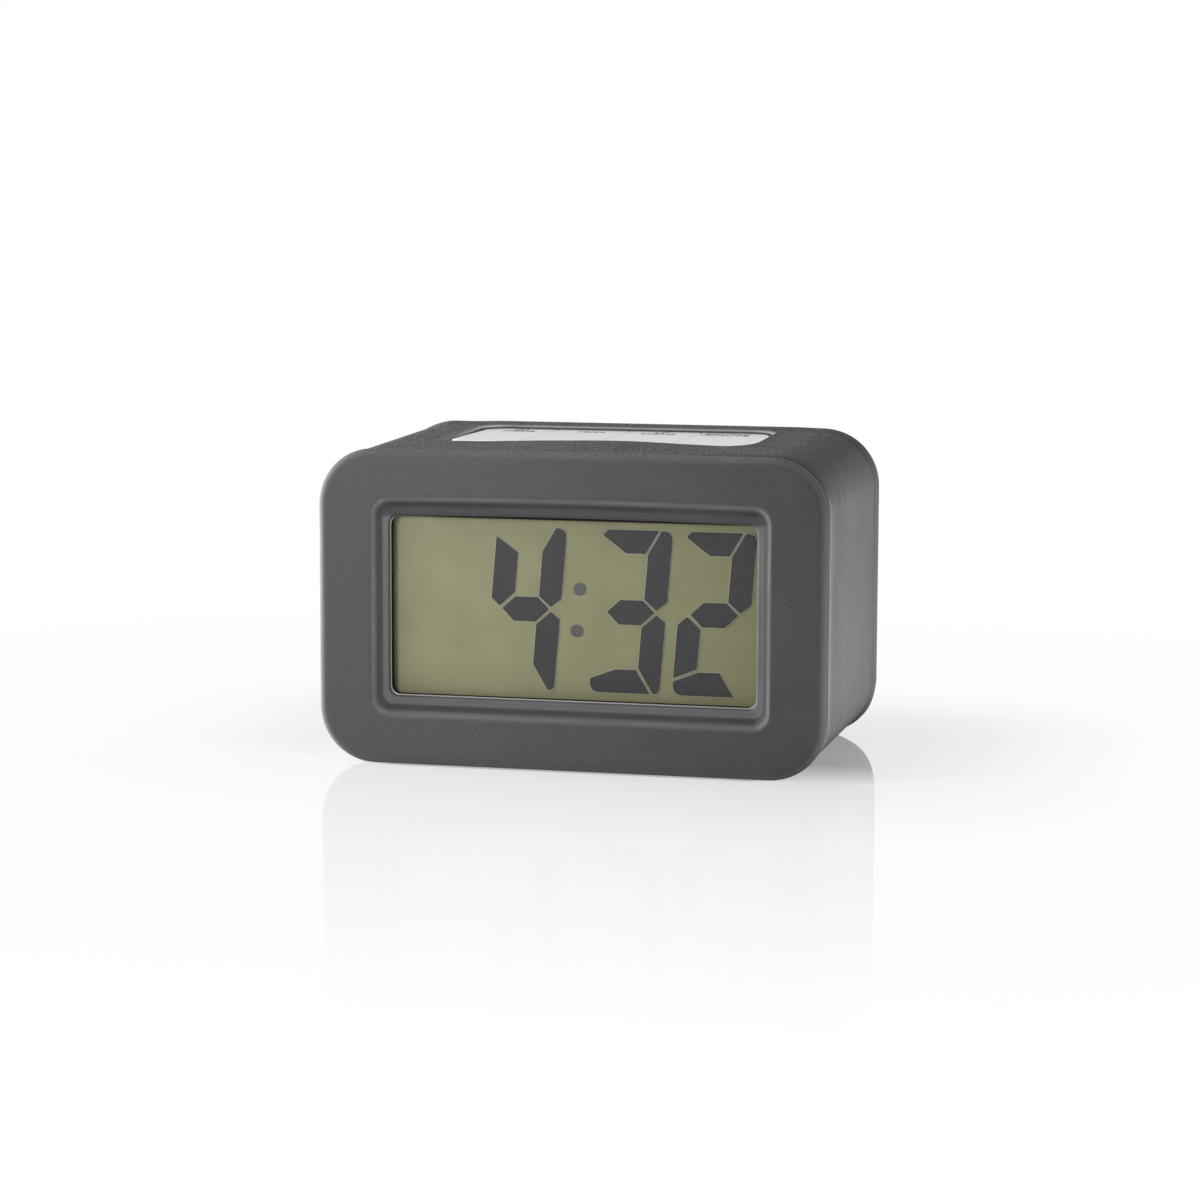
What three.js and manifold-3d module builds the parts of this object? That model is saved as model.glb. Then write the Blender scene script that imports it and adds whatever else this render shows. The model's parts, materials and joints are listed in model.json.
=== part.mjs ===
// Digital alarm clock: a rubber sleeve round a two-part plastic case, with a liquid crystal display
// behind the front window, four sprung keys in the top and a battery compartment at the back.
// Millimetres. +X is right, +Y runs from the front to the back and +Z is up.
// The origin is on the table, below the middle of the clock.
// Pieces are drawn in the assembly's own frame, whose Y is the depth behind the front face.
import * as THREE from 'three';
import { mergeVertices } from 'three/addons/utils/BufferGeometryUtils.js';
import Module from 'manifold-3d';

const wasm = await Module();
wasm.setup();

// Display window, and the bezel round it that sets the front outline
const WINDOW_WIDTH = 77.7;
const WINDOW_HEIGHT = 37.4;
const WINDOW_CORNER = 1.5;
const BEZEL_SIDE = 14.95;
const BEZEL_TOP = 14.15;
const BEZEL_BOTTOM = 14.45;

// Overall form: the outline grows a little from the front to the back
const DEPTH = 65.4;
const FRONT_CORNER = 11.8;
const BACK_GROWTH_WIDTH = 0.8;
const BACK_GROWTH_HEIGHT = 1.6;
const BACK_GROWTH_CORNER = 0.8;

// Clearances: between neighbouring pieces, and between faces that rest on each other
const FIT = 0.3;
const SEAT = 0.05;

// Rubber sleeve: front lip, groove behind it, slightly drawn-in body and back rim
const LIP_ROUND = 1.8;
const LIP_DEPTH = 3.2;
const GROOVE_INSET = 0.6;
const GROOVE_RUN = 0.4;
const BODY_INSET = 0.3;
const BODY_RUN = 1.4;
const RIM_DEPTH = 5.0;
const RIM_FLARE = 2.4;
const RIM_ROUND = 1.5;
const SLEEVE_WALL = 2.4;
const SLEEVE_FRONT = 3.6;
const SLEEVE_BACK = 2.2;
const BACK_RETURN = 3.0;

// Stepped reveal of the window: rounded edge, cove, bead and inner edge
const REVEAL_MARGIN = 3.8;
const REVEAL_CORNER = 2.2;
const EDGE_ROUND = 0.9;
const COVE_DEPTH = 2.5;
const COVE_WIDTH = 1.5;
const BEAD_HEIGHT = 0.4;
const INNER_MARGIN = 0.5;
// Points along the cove and the bead, as shares of their width and of their depth or height
const COVE_SHAPE = [[0.15, 0.65], [0.5, 0.95], [1, 1]];
const BEAD_SHAPE = [[0.3, 0.85], [0.5, 1], [0.8, 0.6], [1, 0]];

// Plastic case
const HOUSING_WALL = 1.8;
const FRONT_PLATE = 1.4;
const REAR_PLATE = 2.2;
const SPLIT_TO_KEYS = 4.7;
const SEAM = 0.2;
const POST_RADIUS = 2.6;
const WELL_DEPTH = 13.4;
const POST_CORNER_INSET = 5.7;
const WELL_RADIUS = 4.0;
const WELL_BORE = 2.6;
const WELL_FLOOR = 1.6;

// Keys
const KEY_COUNT = 4;
const KEYS_WIDTH = 64.4;
const KEYS_LENGTH = 34.4;
const KEYS_TO_BACK = 7.8;
const KEYS_CORNER = 4.5;
const KEY_PROUD = 0.15;
const KEY_GAP = 0.3;
const KEY_ROUND = 0.7;
const KEY_SKIN = 1.4;
const KEY_FLANGE = 1.5;
const FLANGE_THICK = 1.2;
const KEY_TRAVEL = 0.8;
const NOTCH_RADIUS = 0.9;
const STEM_RADIUS = 2.4;
const STEM_REACH = 1.0;
const RUBBER_RIM = 0.6;
const RUBBER_EDGE_ROUND = 0.6;

// Key board and switches
const BOARD_THICK = 1.6;
const SWITCH_SIZE = 6.0;
const SWITCH_HEIGHT = 3.4;
const PLUNGER_RADIUS = 1.7;
const PLUNGER_STAND = 1.1;
const PLUNGER_SUNK = 0.6;
const PLUNGER_PLAY = 0.2;
const BOARD_POST_RADIUS = 2.6;
const BOARD_POST_MARGIN = 3.2;
const KEY_BOARD_EDGE = 3.0;
const KEY_BOARD_INSET = 1.7;

// Display module
const LENS_THICK = 1.0;
const GLASS_THICK = 0.7;
const GLASS_OVERLAP = 1.45;
const GLASS_LEDGE = 2.9;
const GUIDE_THICK = 2.5;
const FRAME_WALL = 1.1;
const LED_WIDTH = 1.6;
const LED_TALL = 3.0;
const ZEBRA_WIDTH = 2.0;
const ZEBRA_END = 4.0;

// Main board parts
const EAR_HEIGHT = 8.4;
const EAR_REACH = 3.2;
const BLOB_RADIUS = 6.0;
const BLOB_HEIGHT = 1.8;
const BLOB_X = -12.0;
// Points along the resin drop, as shares of its radius and height
const BLOB_SHAPE = [[0, 0], [1, 0], [0.92, 0.45], [0.7, 0.8], [0.4, 0.96], [0, 1]];
const CRYSTAL_RADIUS = 1.5;
const CRYSTAL_LENGTH = 6.2;
const CRYSTAL_X = 6.0;
const RIBBON_WIDTH = 14.0;
const RIBBON_THICK = 0.5;
const RIBBON_DROP = 5.0;

// Batteries and their compartment
const CELL_RADIUS = 5.25;
const CELL_LENGTH = 44.5;
const NUB_RADIUS = 1.9;
const NUB_LENGTH = 1.2;
const CELL_EDGE = 0.5;
const CELL_PLAY = 0.5;
const SPRING_ROOM = 5.0;
const SPRING_RADIUS = 3.0;
const SPRING_TURNS = 4;
const SPRING_WIRE = 0.3;
const CONTACT_THICK = 0.4;
const CONTACT_WIDTH = 8.0;
const TAB_WIDTH = 3.0;
const TAB_REACH = 3.5;
const TUB_LOW = 12.5;
const TUB_WALL = 1.5;
const DOOR_MARGIN = 2.8;
const DOOR_THICK = 1.2;
const DOOR_CORNER = 2.0;
const DOOR_RIB = 1.2;
const DOOR_RIB_DEPTH = 1.6;
const LATCH_WIDTH = 11.0;
const LATCH_LENGTH = 6.5;
const LATCH_SLIT = 0.9;
const LATCH_RIDGE = 0.35;
const RIDGE_WIDTH = 7.7;
const RIDGE_COUNT = 3;

// Buzzer
const BUZZER_RADIUS = 6.0;
const BUZZER_HEIGHT = 6.0;
const BUZZER_ABOVE_DOOR = 7.4;
const BUZZER_COLLAR = 1.2;
const COLLAR_HEIGHT = 3.0;
const SOUND_HOLE = 0.75;
const SOUND_RING = 3.0;
const SOUND_HOLES = 6;

// Screws and wires
const HEAD_RADIUS = 2.1;
const HEAD_HEIGHT = 1.5;
const HEAD_EDGE = 0.6;
const HEAD_FLAT = 1.7;
const SHANK_RADIUS = 0.85;
const SHANK_LENGTH = 9.0;
const SHORT_SHANK = 6.0;
const BORE_RADIUS = 1.1;
const CROSS_LENGTH = 2.7;
const CROSS_WIDTH = 0.7;
const CROSS_DEPTH = 0.7;
const WIRE_RADIUS = 0.6;
const WIRE_SPACING = 3.0;
const WIRE_LIFT = 4.0;
const WIRE_END_INSET = 2.0;
// Points along a battery wire, as shares of its run and of its lift
const WIRE_SHAPE = [[0, 0], [0.15, 0], [0.5, 1], [0.85, 0], [1, 0]];

// Facets and overshoot of cutting tools
const CORNER_STEPS = 6;
const ROUND_STEPS = 4;
const ROUND_SIDES = 20;
const SMALL_SIDES = 12;
const SMALL_RADIUS = 2.0;
const COIL_STEPS = 10;
const WIRE_SIDES = 6;
const WIRE_STEPS = 12;
const RIBBON_STEPS = 12;
const OVER = 1.0;

// Sizes worked out from the values above
const frontWidth = WINDOW_WIDTH + 2 * BEZEL_SIDE;
const frontHeight = WINDOW_HEIGHT + BEZEL_TOP + BEZEL_BOTTOM;
const windowMiddle = BEZEL_BOTTOM + WINDOW_HEIGHT / 2;
const cavityInset = BODY_INSET + SLEEVE_WALL;
const housingInset = cavityInset + FIT;
const insideInset = housingInset + HOUSING_WALL;
const housingFront = SLEEVE_FRONT + FIT;
const plateBack = housingFront + FRONT_PLATE;
const housingBack = DEPTH - SLEEVE_BACK - FIT;
const rearPlateFront = housingBack - REAR_PLATE;
const postEnd = housingBack - WELL_DEPTH;
const keysBack = DEPTH - KEYS_TO_BACK;
const keysFront = keysBack - KEYS_LENGTH;
const split = keysFront - SPLIT_TO_KEYS;

// Height of the outline's top at a depth, drawn in by an inset
const topAt = (depth, inset) => frontHeight + BACK_GROWTH_HEIGHT * depth / DEPTH - inset;
const halfWidthAt = (depth, inset) => (frontWidth + BACK_GROWTH_WIDTH * depth / DEPTH) / 2 - inset;

// Solids and booleans

// A three.js geometry as a closed solid: shared corners merged, and faces turned outwards
function solidOf(geometry) {
  const bare = geometry.clone();
  bare.deleteAttribute('normal');
  bare.deleteAttribute('uv');
  const merged = mergeVertices(bare);
  const place = merged.attributes.position;
  const corner = (i) => new THREE.Vector3().fromBufferAttribute(place, i);
  const triangles = [];
  let volume = 0;
  for (let i = 0; i < merged.index.count; i += 3) {
    const [a, b, c] = [0, 1, 2].map((k) => merged.index.getX(i + k));
    if (a === b || b === c || c === a) continue;
    triangles.push([a, b, c]);
    volume += corner(a).dot(corner(b).cross(corner(c)));
  }
  const turned = volume < 0 ? triangles.map(([a, b, c]) => [a, c, b]) : triangles;
  const vertProperties = Float32Array.from(place.array);
  const triVerts = Uint32Array.from(turned.flat());
  return new wasm.Manifold(new wasm.Mesh({ numProp: 3, vertProperties, triVerts }));
}

function geometryOf(solid) {
  const mesh = solid.getMesh();
  const geometry = new THREE.BufferGeometry();
  geometry.setAttribute('position', new THREE.BufferAttribute(new Float32Array(mesh.vertProperties), 3));
  geometry.setIndex(new THREE.BufferAttribute(new Uint32Array(mesh.triVerts), 1));
  geometry.computeVertexNormals();
  return geometry;
}

const join = (...parts) => geometryOf(parts.map(solidOf).reduce((sum, part) => sum.add(part)));
const common = (a, b) => geometryOf(solidOf(a).intersect(solidOf(b)));
function cut(body, ...tools) {
  return geometryOf(tools.map(solidOf).reduce((rest, tool) => rest.subtract(tool), solidOf(body)));
}

// Basic forms

// Points of a rounded rectangle, anticlockwise in its own plane
function roundedLoop(halfWidth, low, high, radius) {
  const right = halfWidth - radius;
  const top = high - radius;
  const bottom = low + radius;
  const centres = [[right, top], [-right, top], [-right, bottom], [right, bottom]];
  const points = [];
  centres.forEach(([x, y], quarter) => {
    for (let k = 0; k <= CORNER_STEPS; k += 1) {
      const angle = (quarter + k / CORNER_STEPS) * Math.PI / 2;
      points.push(new THREE.Vector2(x + radius * Math.cos(angle), y + radius * Math.sin(angle)));
    }
  });
  return points;
}

// An upright ring at a depth, and a level ring at a height
const uprightRing = (loop, depth) => loop.map((p) => new THREE.Vector3(p.x, depth, p.y)).reverse();
const levelRing = (loop, height) => loop.map((p) => new THREE.Vector3(p.x, p.y, height));

// A closed skin through rings of equal count, turning right-handed about the way they run
function loft(rings) {
  const count = rings[0].length;
  const index = [];
  const last = (rings.length - 1) * count;
  for (let i = 0; i < count; i += 1) {
    const j = (i + 1) % count;
    for (let r = 0; r < last; r += count) {
      index.push(r + i, r + j, r + count + j, r + i, r + count + j, r + count + i);
    }
    if (i > 0 && j > 0) index.push(0, j, i, last, last + i, last + j);
  }
  const geometry = new THREE.BufferGeometry().setFromPoints(rings.flat());
  geometry.setIndex(index);
  return geometry;
}

// The clock's own outline at a depth, drawn in by an inset
function outlineRing(depth, inset) {
  const radius = FRONT_CORNER + BACK_GROWTH_CORNER * depth / DEPTH - inset;
  const loop = roundedLoop(halfWidthAt(depth, inset), inset, topAt(depth, inset), radius);
  return uprightRing(loop, depth);
}

const outlineBlock = (from, to, inset) => loft([outlineRing(from, inset), outlineRing(to, inset)]);

// A plate across the depth, centred on X and on the height given
function plate(width, height, middle, radius, from, to) {
  const loop = roundedLoop(width / 2, middle - height / 2, middle + height / 2, radius);
  return loft([uprightRing(loop, from), uprightRing(loop, to)]);
}

// A level slab, centred on X, between two depths and two heights
function slab(width, radius, depths, heights) {
  const loop = roundedLoop(width / 2, depths[0], depths[1], radius);
  return loft(heights.map((height) => levelRing(loop, height)));
}

function box(xs, depths, heights) {
  const size = [xs, depths, heights].map(([low, high]) => high - low);
  const middle = [xs, depths, heights].map(([low, high]) => (low + high) / 2);
  return new THREE.BoxGeometry(...size).translate(...middle);
}

const sidesOf = (radius) => (radius < SMALL_RADIUS ? SMALL_SIDES : ROUND_SIDES);
const rod = (radius, length) => new THREE.CylinderGeometry(radius, radius, length, sidesOf(radius));

function rodAcrossDepth(radius, x, z, depths) {
  return rod(radius, depths[1] - depths[0]).translate(x, (depths[0] + depths[1]) / 2, z);
}

function rodUpright(radius, x, depth, heights) {
  const bar = rod(radius, heights[1] - heights[0]).rotateX(Math.PI / 2);
  return bar.translate(x, depth, (heights[0] + heights[1]) / 2);
}

// A body of revolution about the Y axis, from radius and distance pairs that start and end on the axis
function revolved(profile, sides) {
  return new THREE.LatheGeometry(profile.map(([r, y]) => new THREE.Vector2(r, y)), sides);
}

// A round wire along a curve
function wireAlong(curve, radius, steps) {
  const section = new THREE.Shape();
  section.absarc(0, 0, radius, 0, 2 * Math.PI);
  const curveSegments = WIRE_SIDES / 2;
  return new THREE.ExtrudeGeometry(section, { steps, extrudePath: curve, curveSegments });
}

// Materials

const material = (color, roughness, metalness) => new THREE.MeshStandardMaterial({
  color, roughness, metalness, flatShading: true,
});
const rubber = material(0x565656, 0.85, 0);
const casePlastic = material(0x2e2f31, 0.6, 0);
const framePlastic = material(0xe6e6e2, 0.6, 0);
const silverPlastic = material(0xd2d4d6, 0.3, 0.8);
const blackPlastic = material(0x1b1b1c, 0.55, 0);
const clearPlastic = material(0xeef2f0, 0.05, 0);
const displayGlass = material(0x8f8f73, 0.2, 0);
const guidePlastic = material(0xf2f4ee, 0.25, 0);
const connectorRubber = material(0xb9bcc2, 0.8, 0);
const board = material(0x2f6b3a, 0.6, 0);
const epoxy = material(0x141414, 0.4, 0);
const steel = material(0xb4b6b8, 0.35, 1);
const ledBody = material(0xf4f0dc, 0.4, 0);
const cellSkin = material(0x3c4a5c, 0.35, 0.4);
const redWire = material(0xb02020, 0.6, 0);
const blackWire = material(0x202020, 0.6, 0);
const ribbonGrey = material(0xa8a8ac, 0.6, 0);

// Scene graph: the assembly stands with its middle over the origin, and holds the groups of pieces
function groupIn(parent, x, y, z) {
  const group = new THREE.Group();
  group.position.set(x, y, z);
  parent.add(group);
  return group;
}
const clock = new THREE.Group();
const assembly = groupIn(clock, 0, -DEPTH / 2, 0);

function piece(parent, name, geometry, finish) {
  const mesh = new THREE.Mesh(geometryOf(solidOf(geometry)), finish);
  mesh.name = name;
  parent.add(mesh);
  return mesh;
}

// Key row, worked out early because the sleeve and the case are cut for it
const keysMiddle = (keysFront + keysBack) / 2;
const keysTop = topAt(keysFront, BODY_INSET) + KEY_PROUD;
const flangeTop = topAt(keysFront - KEY_FLANGE, insideInset) - FIT;
const flangeLow = flangeTop - FLANGE_THICK;
const stemLow = flangeLow - STEM_REACH;
const keyWidth = (KEYS_WIDTH - (KEY_COUNT - 1) * KEY_GAP) / KEY_COUNT;
const keyLeft = (i) => -KEYS_WIDTH / 2 + i * (keyWidth + KEY_GAP);
const keyMiddle = (i) => keyLeft(i) + keyWidth / 2;

// A slab of the key row's plan, grown outwards by a margin
function keyRow(margin, heights) {
  const depths = [keysFront - margin, keysBack + margin];
  return slab(KEYS_WIDTH + 2 * margin, KEYS_CORNER + margin, depths, heights);
}

// Rubber sleeve

// Outer skin: rounded front lip, groove, drawn-in body and rounded back rim
function sleeveSkin() {
  const rings = [];
  for (let k = 0; k <= ROUND_STEPS; k += 1) {
    const turn = (k / ROUND_STEPS) * Math.PI / 2;
    rings.push(outlineRing(LIP_ROUND * (1 - Math.cos(turn)), LIP_ROUND * (1 - Math.sin(turn))));
  }
  rings.push(outlineRing(LIP_DEPTH, 0));
  rings.push(outlineRing(LIP_DEPTH + GROOVE_RUN, GROOVE_INSET));
  rings.push(outlineRing(LIP_DEPTH + GROOVE_RUN + BODY_RUN, BODY_INSET));
  rings.push(outlineRing(DEPTH - RIM_DEPTH - RIM_FLARE, BODY_INSET));
  rings.push(outlineRing(DEPTH - RIM_DEPTH, 0));
  for (let k = 0; k <= ROUND_STEPS; k += 1) {
    const turn = (k / ROUND_STEPS) * Math.PI / 2;
    const depth = DEPTH - RIM_ROUND * (1 - Math.sin(turn));
    rings.push(outlineRing(depth, RIM_ROUND * (1 - Math.cos(turn))));
  }
  return loft(rings);
}

// Window cutter: its rings follow the reveal's profile inwards, as margins round the window
function windowCutter() {
  const wide = REVEAL_MARGIN + EDGE_ROUND;
  const profile = [[wide, -OVER], [wide, 0]];
  for (let k = 1; k <= ROUND_STEPS; k += 1) {
    const turn = (k / ROUND_STEPS) * Math.PI / 2;
    profile.push([wide - EDGE_ROUND * Math.sin(turn), EDGE_ROUND * (1 - Math.cos(turn))]);
  }
  const coveEnd = REVEAL_MARGIN - COVE_WIDTH;
  const beadWidth = coveEnd - INNER_MARGIN;
  for (const [across, down] of COVE_SHAPE) {
    profile.push([REVEAL_MARGIN - COVE_WIDTH * across, EDGE_ROUND + (COVE_DEPTH - EDGE_ROUND) * down]);
  }
  for (const [across, up] of BEAD_SHAPE) {
    profile.push([coveEnd - beadWidth * across, COVE_DEPTH - BEAD_HEIGHT * up]);
  }
  profile.push([INNER_MARGIN, SLEEVE_FRONT + OVER]);
  return loft(profile.map(([margin, depth]) => {
    const share = (margin - INNER_MARGIN) / (REVEAL_MARGIN - INNER_MARGIN);
    const radius = WINDOW_CORNER + INNER_MARGIN + Math.max(share, 0) * REVEAL_CORNER;
    const low = windowMiddle - WINDOW_HEIGHT / 2 - margin;
    const high = windowMiddle + WINDOW_HEIGHT / 2 + margin;
    return uprightRing(roundedLoop(WINDOW_WIDTH / 2 + margin, low, high, radius), depth);
  }));
}

// Key opening cutter: straight sides, with a rounded upper edge that follows the sloping top
function keyCutter() {
  const slope = Math.atan2(BACK_GROWTH_HEIGHT, DEPTH);
  const halfLength = KEYS_LENGTH / 2 + RUBBER_RIM;
  const profile = [[0, -SLEEVE_WALL - OVER], [0, -RUBBER_EDGE_ROUND]];
  for (let k = 1; k <= ROUND_STEPS; k += 1) {
    const turn = (k / ROUND_STEPS) * Math.PI / 2;
    profile.push([RUBBER_EDGE_ROUND * (1 - Math.cos(turn)), -RUBBER_EDGE_ROUND * (1 - Math.sin(turn))]);
  }
  profile.push([RUBBER_EDGE_ROUND, OVER]);
  const rings = profile.map(([margin, height]) => {
    const half = KEYS_WIDTH / 2 + RUBBER_RIM + margin;
    const loop = roundedLoop(half, -halfLength - margin, halfLength + margin, KEYS_CORNER + margin);
    return levelRing(loop, height);
  });
  return loft(rings).rotateX(slope).translate(0, keysMiddle, topAt(keysMiddle, BODY_INSET));
}

piece(assembly, 'silicone_sleeve', cut(
  sleeveSkin(),
  outlineBlock(SLEEVE_FRONT, DEPTH - SLEEVE_BACK, cavityInset),
  outlineBlock(DEPTH - SLEEVE_BACK - OVER, DEPTH + OVER, cavityInset + BACK_RETURN),
  windowCutter(),
  keyCutter(),
), rubber);

// Display module: sizes of the stack behind the window

const glassWidth = WINDOW_WIDTH + 2 * GLASS_OVERLAP;
const rearGlassHeight = WINDOW_HEIGHT + 2 * GLASS_OVERLAP;
const frontGlassHeight = rearGlassHeight + 2 * GLASS_LEDGE;
const lensFront = plateBack + SEAT;
const frontGlassFront = lensFront + LENS_THICK + SEAT;
const rearGlassFront = frontGlassFront + GLASS_THICK + SEAT;
const guideFront = rearGlassFront + GLASS_THICK + SEAT;
const boardFront = guideFront + GUIDE_THICK + SEAT;
const boardBack = boardFront + BOARD_THICK;
const frameWidth = glassWidth + 2 * (FIT + FRAME_WALL);
const frameHeight = frontGlassHeight + 2 * (FIT + FRAME_WALL);
const ledRoom = LED_WIDTH + 2 * FIT;

// Posts that join the two halves of the case, just outside the display frame
const postX = frameWidth / 2 + FIT + POST_RADIUS;
const postLow = insideInset + POST_CORNER_INSET;
const postHigh = topAt(0, insideInset) - POST_CORNER_INSET;
const postPlaces = [[-postX, postLow], [postX, postLow], [-postX, postHigh], [postX, postHigh]];
const bossPlaces = [[-postX, windowMiddle], [postX, windowMiddle]];

// Front half of the case

const postTo = (to) => ([x, z]) => rodAcrossDepth(POST_RADIUS, x, z, [plateBack - FRONT_PLATE / 2, to]);
const boreFrom = (to, length) => ([x, z]) => rodAcrossDepth(BORE_RADIUS, x, z, [to - length, to + OVER]);
const frontShell = cut(
  outlineBlock(housingFront, split, housingInset),
  outlineBlock(plateBack, split + OVER, insideInset),
  plate(WINDOW_WIDTH, WINDOW_HEIGHT, windowMiddle, WINDOW_CORNER, housingFront - OVER, plateBack + OVER),
);
piece(assembly, 'front_housing', cut(
  join(frontShell, ...postPlaces.map(postTo(postEnd)), ...bossPlaces.map(postTo(boardFront - SEAT))),
  ...postPlaces.map(boreFrom(postEnd, SHANK_LENGTH + FIT)),
  ...bossPlaces.map(boreFrom(boardFront - SEAT, SHORT_SHANK - BOARD_THICK + FIT)),
), casePlastic);

// Display group, centred on the window: its pieces from the front to the back

const display = groupIn(assembly, 0, 0, windowMiddle);
const centred = (width, height, from, to) => plate(width, height, 0, WINDOW_CORNER, from, to);
piece(display, 'display_window', centred(
  glassWidth,
  frontGlassHeight,
  lensFront,
  lensFront + LENS_THICK,
), clearPlastic);
piece(display, 'lcd_front_glass', box(
  [-glassWidth / 2, glassWidth / 2],
  [frontGlassFront, frontGlassFront + GLASS_THICK],
  [-frontGlassHeight / 2, frontGlassHeight / 2],
), displayGlass);
piece(display, 'lcd_rear_glass', box(
  [-glassWidth / 2, glassWidth / 2],
  [rearGlassFront, rearGlassFront + GLASS_THICK],
  [-rearGlassHeight / 2, rearGlassHeight / 2],
), displayGlass);
piece(display, 'light_guide', centred(
  glassWidth - 2 * ledRoom,
  rearGlassHeight,
  guideFront,
  guideFront + GUIDE_THICK,
), guidePlastic);
piece(display, 'lcd_frame', cut(
  centred(frameWidth, frameHeight, lensFront, boardFront - SEAT),
  box(
    [-glassWidth / 2 - FIT, glassWidth / 2 + FIT],
    [lensFront - OVER, boardFront + OVER],
    [-frontGlassHeight / 2 - FIT, frontGlassHeight / 2 + FIT],
  ),
), framePlastic);

// Elastomer strips join the ledges of the front glass to the main board
for (const [name, side] of [['upper', 1], ['lower', -1]]) {
  const strip = box(
    [ZEBRA_END - glassWidth / 2, glassWidth / 2 - ZEBRA_END],
    [rearGlassFront, boardFront - SEAT],
    [-ZEBRA_WIDTH / 2, ZEBRA_WIDTH / 2],
  );
  const mesh = piece(display, `zebra_strip_${name}`, strip, connectorRubber);
  mesh.position.z = side * (rearGlassHeight + GLASS_LEDGE) / 2;
}

// One lamp at each end of the light guide, standing on the main board
for (const [name, side] of [['left', -1], ['right', 1]]) {
  const lamp = box(
    [-LED_WIDTH / 2, LED_WIDTH / 2],
    [guideFront + FIT, boardFront - SEAT],
    [-LED_TALL / 2, LED_TALL / 2],
  );
  const mesh = piece(display, `backlight_led_${name}`, lamp, ledBody);
  mesh.position.x = side * (glassWidth - ledRoom) / 2;
}

// Main board, with an ear at each side for its screw
const earPlaces = [[-postX, 0], [postX, 0]];
piece(display, 'main_board', cut(
  join(
    centred(frameWidth, frameHeight, boardFront, boardBack),
    centred(2 * (postX + EAR_REACH), EAR_HEIGHT, boardFront, boardBack),
  ),
  ...earPlaces.map(boreFrom(boardBack, BOARD_THICK + OVER)),
), board);

const blobProfile = BLOB_SHAPE.map(([r, y]) => [r * BLOB_RADIUS, y * BLOB_HEIGHT]);
const blob = piece(display, 'chip_blob', revolved(blobProfile, ROUND_SIDES), epoxy);
blob.position.set(BLOB_X, boardBack + SEAT, 0);
const crystal = piece(display, 'quartz_crystal', rod(CRYSTAL_RADIUS, CRYSTAL_LENGTH), steel);
crystal.position.set(CRYSTAL_X, boardBack + SEAT + CRYSTAL_RADIUS, 0);
crystal.rotation.x = Math.PI / 2;

// Battery compartment: two cells side by side, lying across the back

const tubHeight = 4 * CELL_RADIUS + 3 * CELL_PLAY;
const tubWidth = CELL_LENGTH + SPRING_ROOM + 2 * CONTACT_THICK + 4 * SEAT;
const tubMiddle = TUB_LOW + tubHeight / 2;
const doorFront = housingBack - DOOR_THICK;
const tubFloor = doorFront - DOOR_RIB_DEPTH - 2 * CELL_RADIUS - CELL_PLAY;
const cellDepth = tubFloor + FIT + CELL_RADIUS;
const doorWidth = tubWidth + 2 * DOOR_MARGIN;
const doorHeight = tubHeight + 2 * DOOR_MARGIN;
const doorTop = tubMiddle + doorHeight / 2;
const cellPitch = CELL_RADIUS + CELL_PLAY / 2;
const cellRows = [
  { name: 'upper', side: 1, height: cellPitch },
  { name: 'lower', side: -1, height: -cellPitch },
];
const tabFront = tubFloor - TUB_WALL - TAB_REACH;

// Slots in the compartment's floor, where the contacts' solder tabs come through
function tabSlots() {
  return cellRows.flatMap(({ height }) => [-1, 1].map((side) => {
    const outer = side * (tubWidth / 2 + FIT);
    const inner = side * (tubWidth / 2 - CONTACT_THICK - SEAT - FIT);
    const halfTab = TAB_WIDTH / 2 + FIT;
    return box(
      [Math.min(inner, outer), Math.max(inner, outer)],
      [tubFloor - TUB_WALL - OVER, tubFloor + OVER],
      [tubMiddle + height - halfTab, tubMiddle + height + halfTab],
    );
  }));
}

// Key board, hung from the top of the rear housing by four posts
const plungerTop = stemLow - SEAT;
const switchTop = plungerTop - PLUNGER_STAND;
const keyBoardTop = switchTop - SWITCH_HEIGHT - SEAT;
const keyBoardLow = keyBoardTop - BOARD_THICK;
const hangX = KEYS_WIDTH / 2 + BOARD_POST_MARGIN;
const keyBoardDepths = [keysFront + KEY_BOARD_INSET, postEnd - FIT];
const hangDepths = [keyBoardDepths[0] + KEY_BOARD_EDGE, keyBoardDepths[1] - KEY_BOARD_EDGE];
const hangPlaces = hangDepths.flatMap((depth) => [[-hangX, depth], [hangX, depth]]);

// Buzzer place, above the battery door
const buzzerMiddle = doorTop + BUZZER_ABOVE_DOOR;
const buzzerFront = rearPlateFront - SEAT - BUZZER_HEIGHT;

// Rear half of the case

const rearShell = cut(
  outlineBlock(split + SEAM, housingBack, housingInset),
  outlineBlock(split + SEAM - OVER, rearPlateFront, insideInset),
);
const wellTubes = postPlaces.map(([x, z]) => (
  rodAcrossDepth(WELL_RADIUS, x, z, [postEnd + SEAT, housingBack - REAR_PLATE / 2])
));
const wellBores = postPlaces.map(([x, z]) => (
  rodAcrossDepth(WELL_BORE, x, z, [postEnd + SEAT + WELL_FLOOR, housingBack + OVER])
));
const screwHoles = postPlaces.map(([x, z]) => (
  rodAcrossDepth(BORE_RADIUS, x, z, [postEnd - OVER, postEnd + SEAT + WELL_FLOOR + OVER])
));
const tubBlock = plate(
  tubWidth + 2 * TUB_WALL,
  tubHeight + 2 * TUB_WALL,
  tubMiddle,
  DOOR_CORNER,
  tubFloor - TUB_WALL,
  housingBack - REAR_PLATE / 2,
);
const tubSpace = box(
  [-tubWidth / 2, tubWidth / 2],
  [tubFloor, housingBack + OVER],
  [tubMiddle - tubHeight / 2, tubMiddle + tubHeight / 2],
);
const doorRecess = plate(
  doorWidth + 2 * FIT,
  doorHeight + 2 * FIT,
  tubMiddle,
  DOOR_CORNER + FIT,
  doorFront - SEAT,
  housingBack + OVER,
);
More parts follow.
